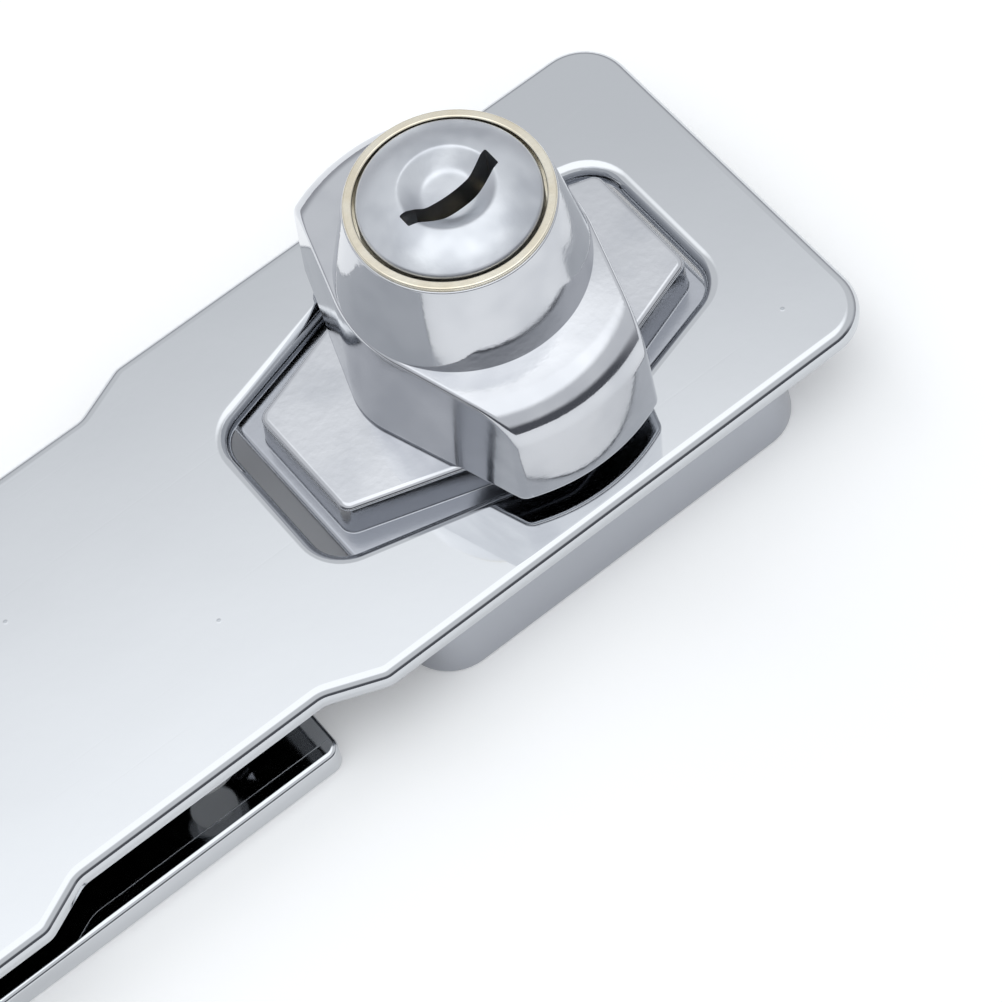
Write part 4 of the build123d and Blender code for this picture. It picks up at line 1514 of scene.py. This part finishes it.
@dataclass(frozen=True)
class Studio:
    """Pale floor, overhead softbox, light backdrop and the darker side behind the camera.

    A band gives the two heights, as the upward part of a direction, between which one light
    turns into another. The way behind is the level direction of the camera's side, and the dark
    is full where a direction lies along it by the end's amount.
    """

    overhead_band: tuple[float, float] = (0.805, 0.925)
    low_band: tuple[float, float] = (0.5, 0.1)
    behind_band: tuple[float, float] = (0.5, 0.3)
    behind_way: tuple[float, float] = (-0.46, -0.89)
    behind_end: float = 0.5
    floor_size: float = 3.0
    floor_rough: float = 0.9
    floor_colour: tuple[float, float, float] = (0.93, 0.935, 0.935)
    floor_lift: float = 0.14
    walls: tuple[float, float, float] = (0.76, 0.78, 0.81)
    softbox: tuple[float, float, float] = (1.5, 1.53, 1.56)
    horizon: tuple[float, float, float] = (0.42, 0.43, 0.46)
    dark: tuple[float, float, float] = (0.1, 0.105, 0.12)
    key_energy: float = 0.9
    key_size: float = 0.5
    key_place: tuple[float, float, float] = (-0.12, 0.6, 0.55)

    def build(self) -> None:
        """Builds world, floor and key lamp."""
        self._world()
        self._floor()
        self._key()

    def _world(self) -> None:
        """Light by direction: bright overhead, grey walls, dimmer low down, dark behind the camera."""
        world = bpy.data.worlds.new("studio")
        bpy.context.scene.world = world
        world.use_nodes = True
        tree = world.node_tree
        wiring = Wiring(tree)
        way = wiring.node("ShaderNodeTexCoord").outputs["Generated"]
        parts = wiring.node("ShaderNodeSeparateXYZ", {0: way})
        x, y, z = parts.outputs
        overhead = wiring.ramp(z, *self.overhead_band)
        shares = [wiring.math("MULTIPLY", part, share) for part, share in zip((x, y), self.behind_way)]
        towards = wiring.ramp(wiring.math("ADD", *shares), 0.0, self.behind_end)
        behind = wiring.math("MULTIPLY", towards, wiring.ramp(z, *self.behind_band))
        tone = wiring.blend(wiring.ramp(z, *self.low_band), (*self.walls, 1.0), (*self.horizon, 1.0))
        tone = wiring.blend(behind, tone, (*self.dark, 1.0))
        tone = wiring.blend(overhead, tone, (*self.softbox, 1.0))
        seen = wiring.node("ShaderNodeLightPath").outputs["Is Camera Ray"]
        tone = wiring.blend(seen, tone, (1.0, 1.0, 1.0, 1.0))
        tree.links.new(tone, tree.nodes["Background"].inputs["Color"])

    def _floor(self) -> None:
        """Pale floor that keeps the shadows and is lifted to white where nothing shades it."""
        half = self.floor_size / 2
        mesh = bpy.data.meshes.new("floor")
        corners = [(-half, -half, 0), (half, -half, 0), (half, half, 0), (-half, half, 0)]
        mesh.from_pydata(corners, [], [(0, 1, 2, 3)])
        floor = bpy.data.objects.new("floor", mesh)
        bpy.context.scene.collection.objects.link(floor)
        material = bpy.data.materials.new("pale_floor")
        material.use_nodes = True
        tree = material.node_tree
        wiring = Wiring(tree)
        shader = tree.nodes["Principled BSDF"]
        shader.inputs["Base Color"].default_value = (*self.floor_colour, 1.0)
        shader.inputs["Roughness"].default_value = self.floor_rough
        shader.inputs["Specular IOR Level"].default_value = 0.0
        path = wiring.node("ShaderNodeLightPath")
        seen = wiring.math("MAXIMUM", path.outputs["Is Camera Ray"], path.outputs["Is Glossy Ray"])
        seen = wiring.math("MAXIMUM", seen, path.outputs["Is Transmission Ray"])
        lift = wiring.math("MULTIPLY", seen, self.floor_lift)
        tree.links.new(lift, shader.inputs["Emission Strength"])
        shader.inputs["Emission Color"].default_value = (1.0, 1.0, 1.0, 1.0)
        mesh.materials.append(material)

    def _key(self) -> None:
        """Large soft lamp from the far side, which gives the shadows their direction."""
        data = bpy.data.lights.new("key", "AREA")
        data.energy = self.key_energy
        data.size = self.key_size
        lamp = bpy.data.objects.new("key", data)
        lamp.location = self.key_place
        back = np.array(self.key_place) / np.linalg.norm(self.key_place)
        side = np.cross(UP, back)
        side = side / np.linalg.norm(side)
        direction = Matrix(np.column_stack([side, np.cross(back, side), back]).tolist())
        lamp.rotation_euler = direction.to_euler()
        lamp.visible_glossy = False
        bpy.context.scene.collection.objects.link(lamp)


def main() -> None:
    """Builds and dresses every piece in order."""
    logging.basicConfig(level=logging.INFO, format="%(message)s", stream=sys.stdout)
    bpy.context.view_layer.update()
    PhotoCamera().build()
    Studio().build()
    bpy.context.scene.view_settings.view_transform = "Standard"
    effects = Effects()
    sheet = SHEET_CHROME.make(effects)
    casting = CAST_CHROME.make(effects)
    steel = PIN_STEEL.make(effects)
    hinge = Hinge()
    dress(Strap(hinge).build(), sheet, "base", Slot.SHEET, "hasp_strap")
    dress(Leaf(hinge).build(), sheet, "leaf", Slot.SHEET, "hinge_leaf")
    dress(Base().build(), casting, "base", Slot.CASTING, "lock_base")
    dress(Knob().build(), casting, "knob", Slot.CASTING, "knob_body")
    dress(Shell().build(), RING_BRASS.make(effects), "knob", Slot.SHELL, "cylinder_shell")
    dress(Plug().build(), PLUG_SATIN.make(effects), "plug", Slot.PLUG, "cylinder_plug")
    dress(Pin(hinge).build(), steel, "base", Slot.PIN, "hinge_pin")
    slots = {row["node"]: row["material_slot"] for row in frame["record"]["subparts"]}
    finishes = {
        Slot.WAFER.value: WAFER_BRASS.make(effects),
        Slot.PIN.value: steel,
        Slot.SPRING.value: SPRING_STEEL.make(effects),
    }
    for name, node in frame["nodes"].items():
        if not node.hide_render:
            node.data.materials.clear()
            node.data.materials.append(finishes[slots[name]])
            log.info("%s keeps its own shape, finish %s", name, slots[name])


if __name__ == "__main__":
    main()
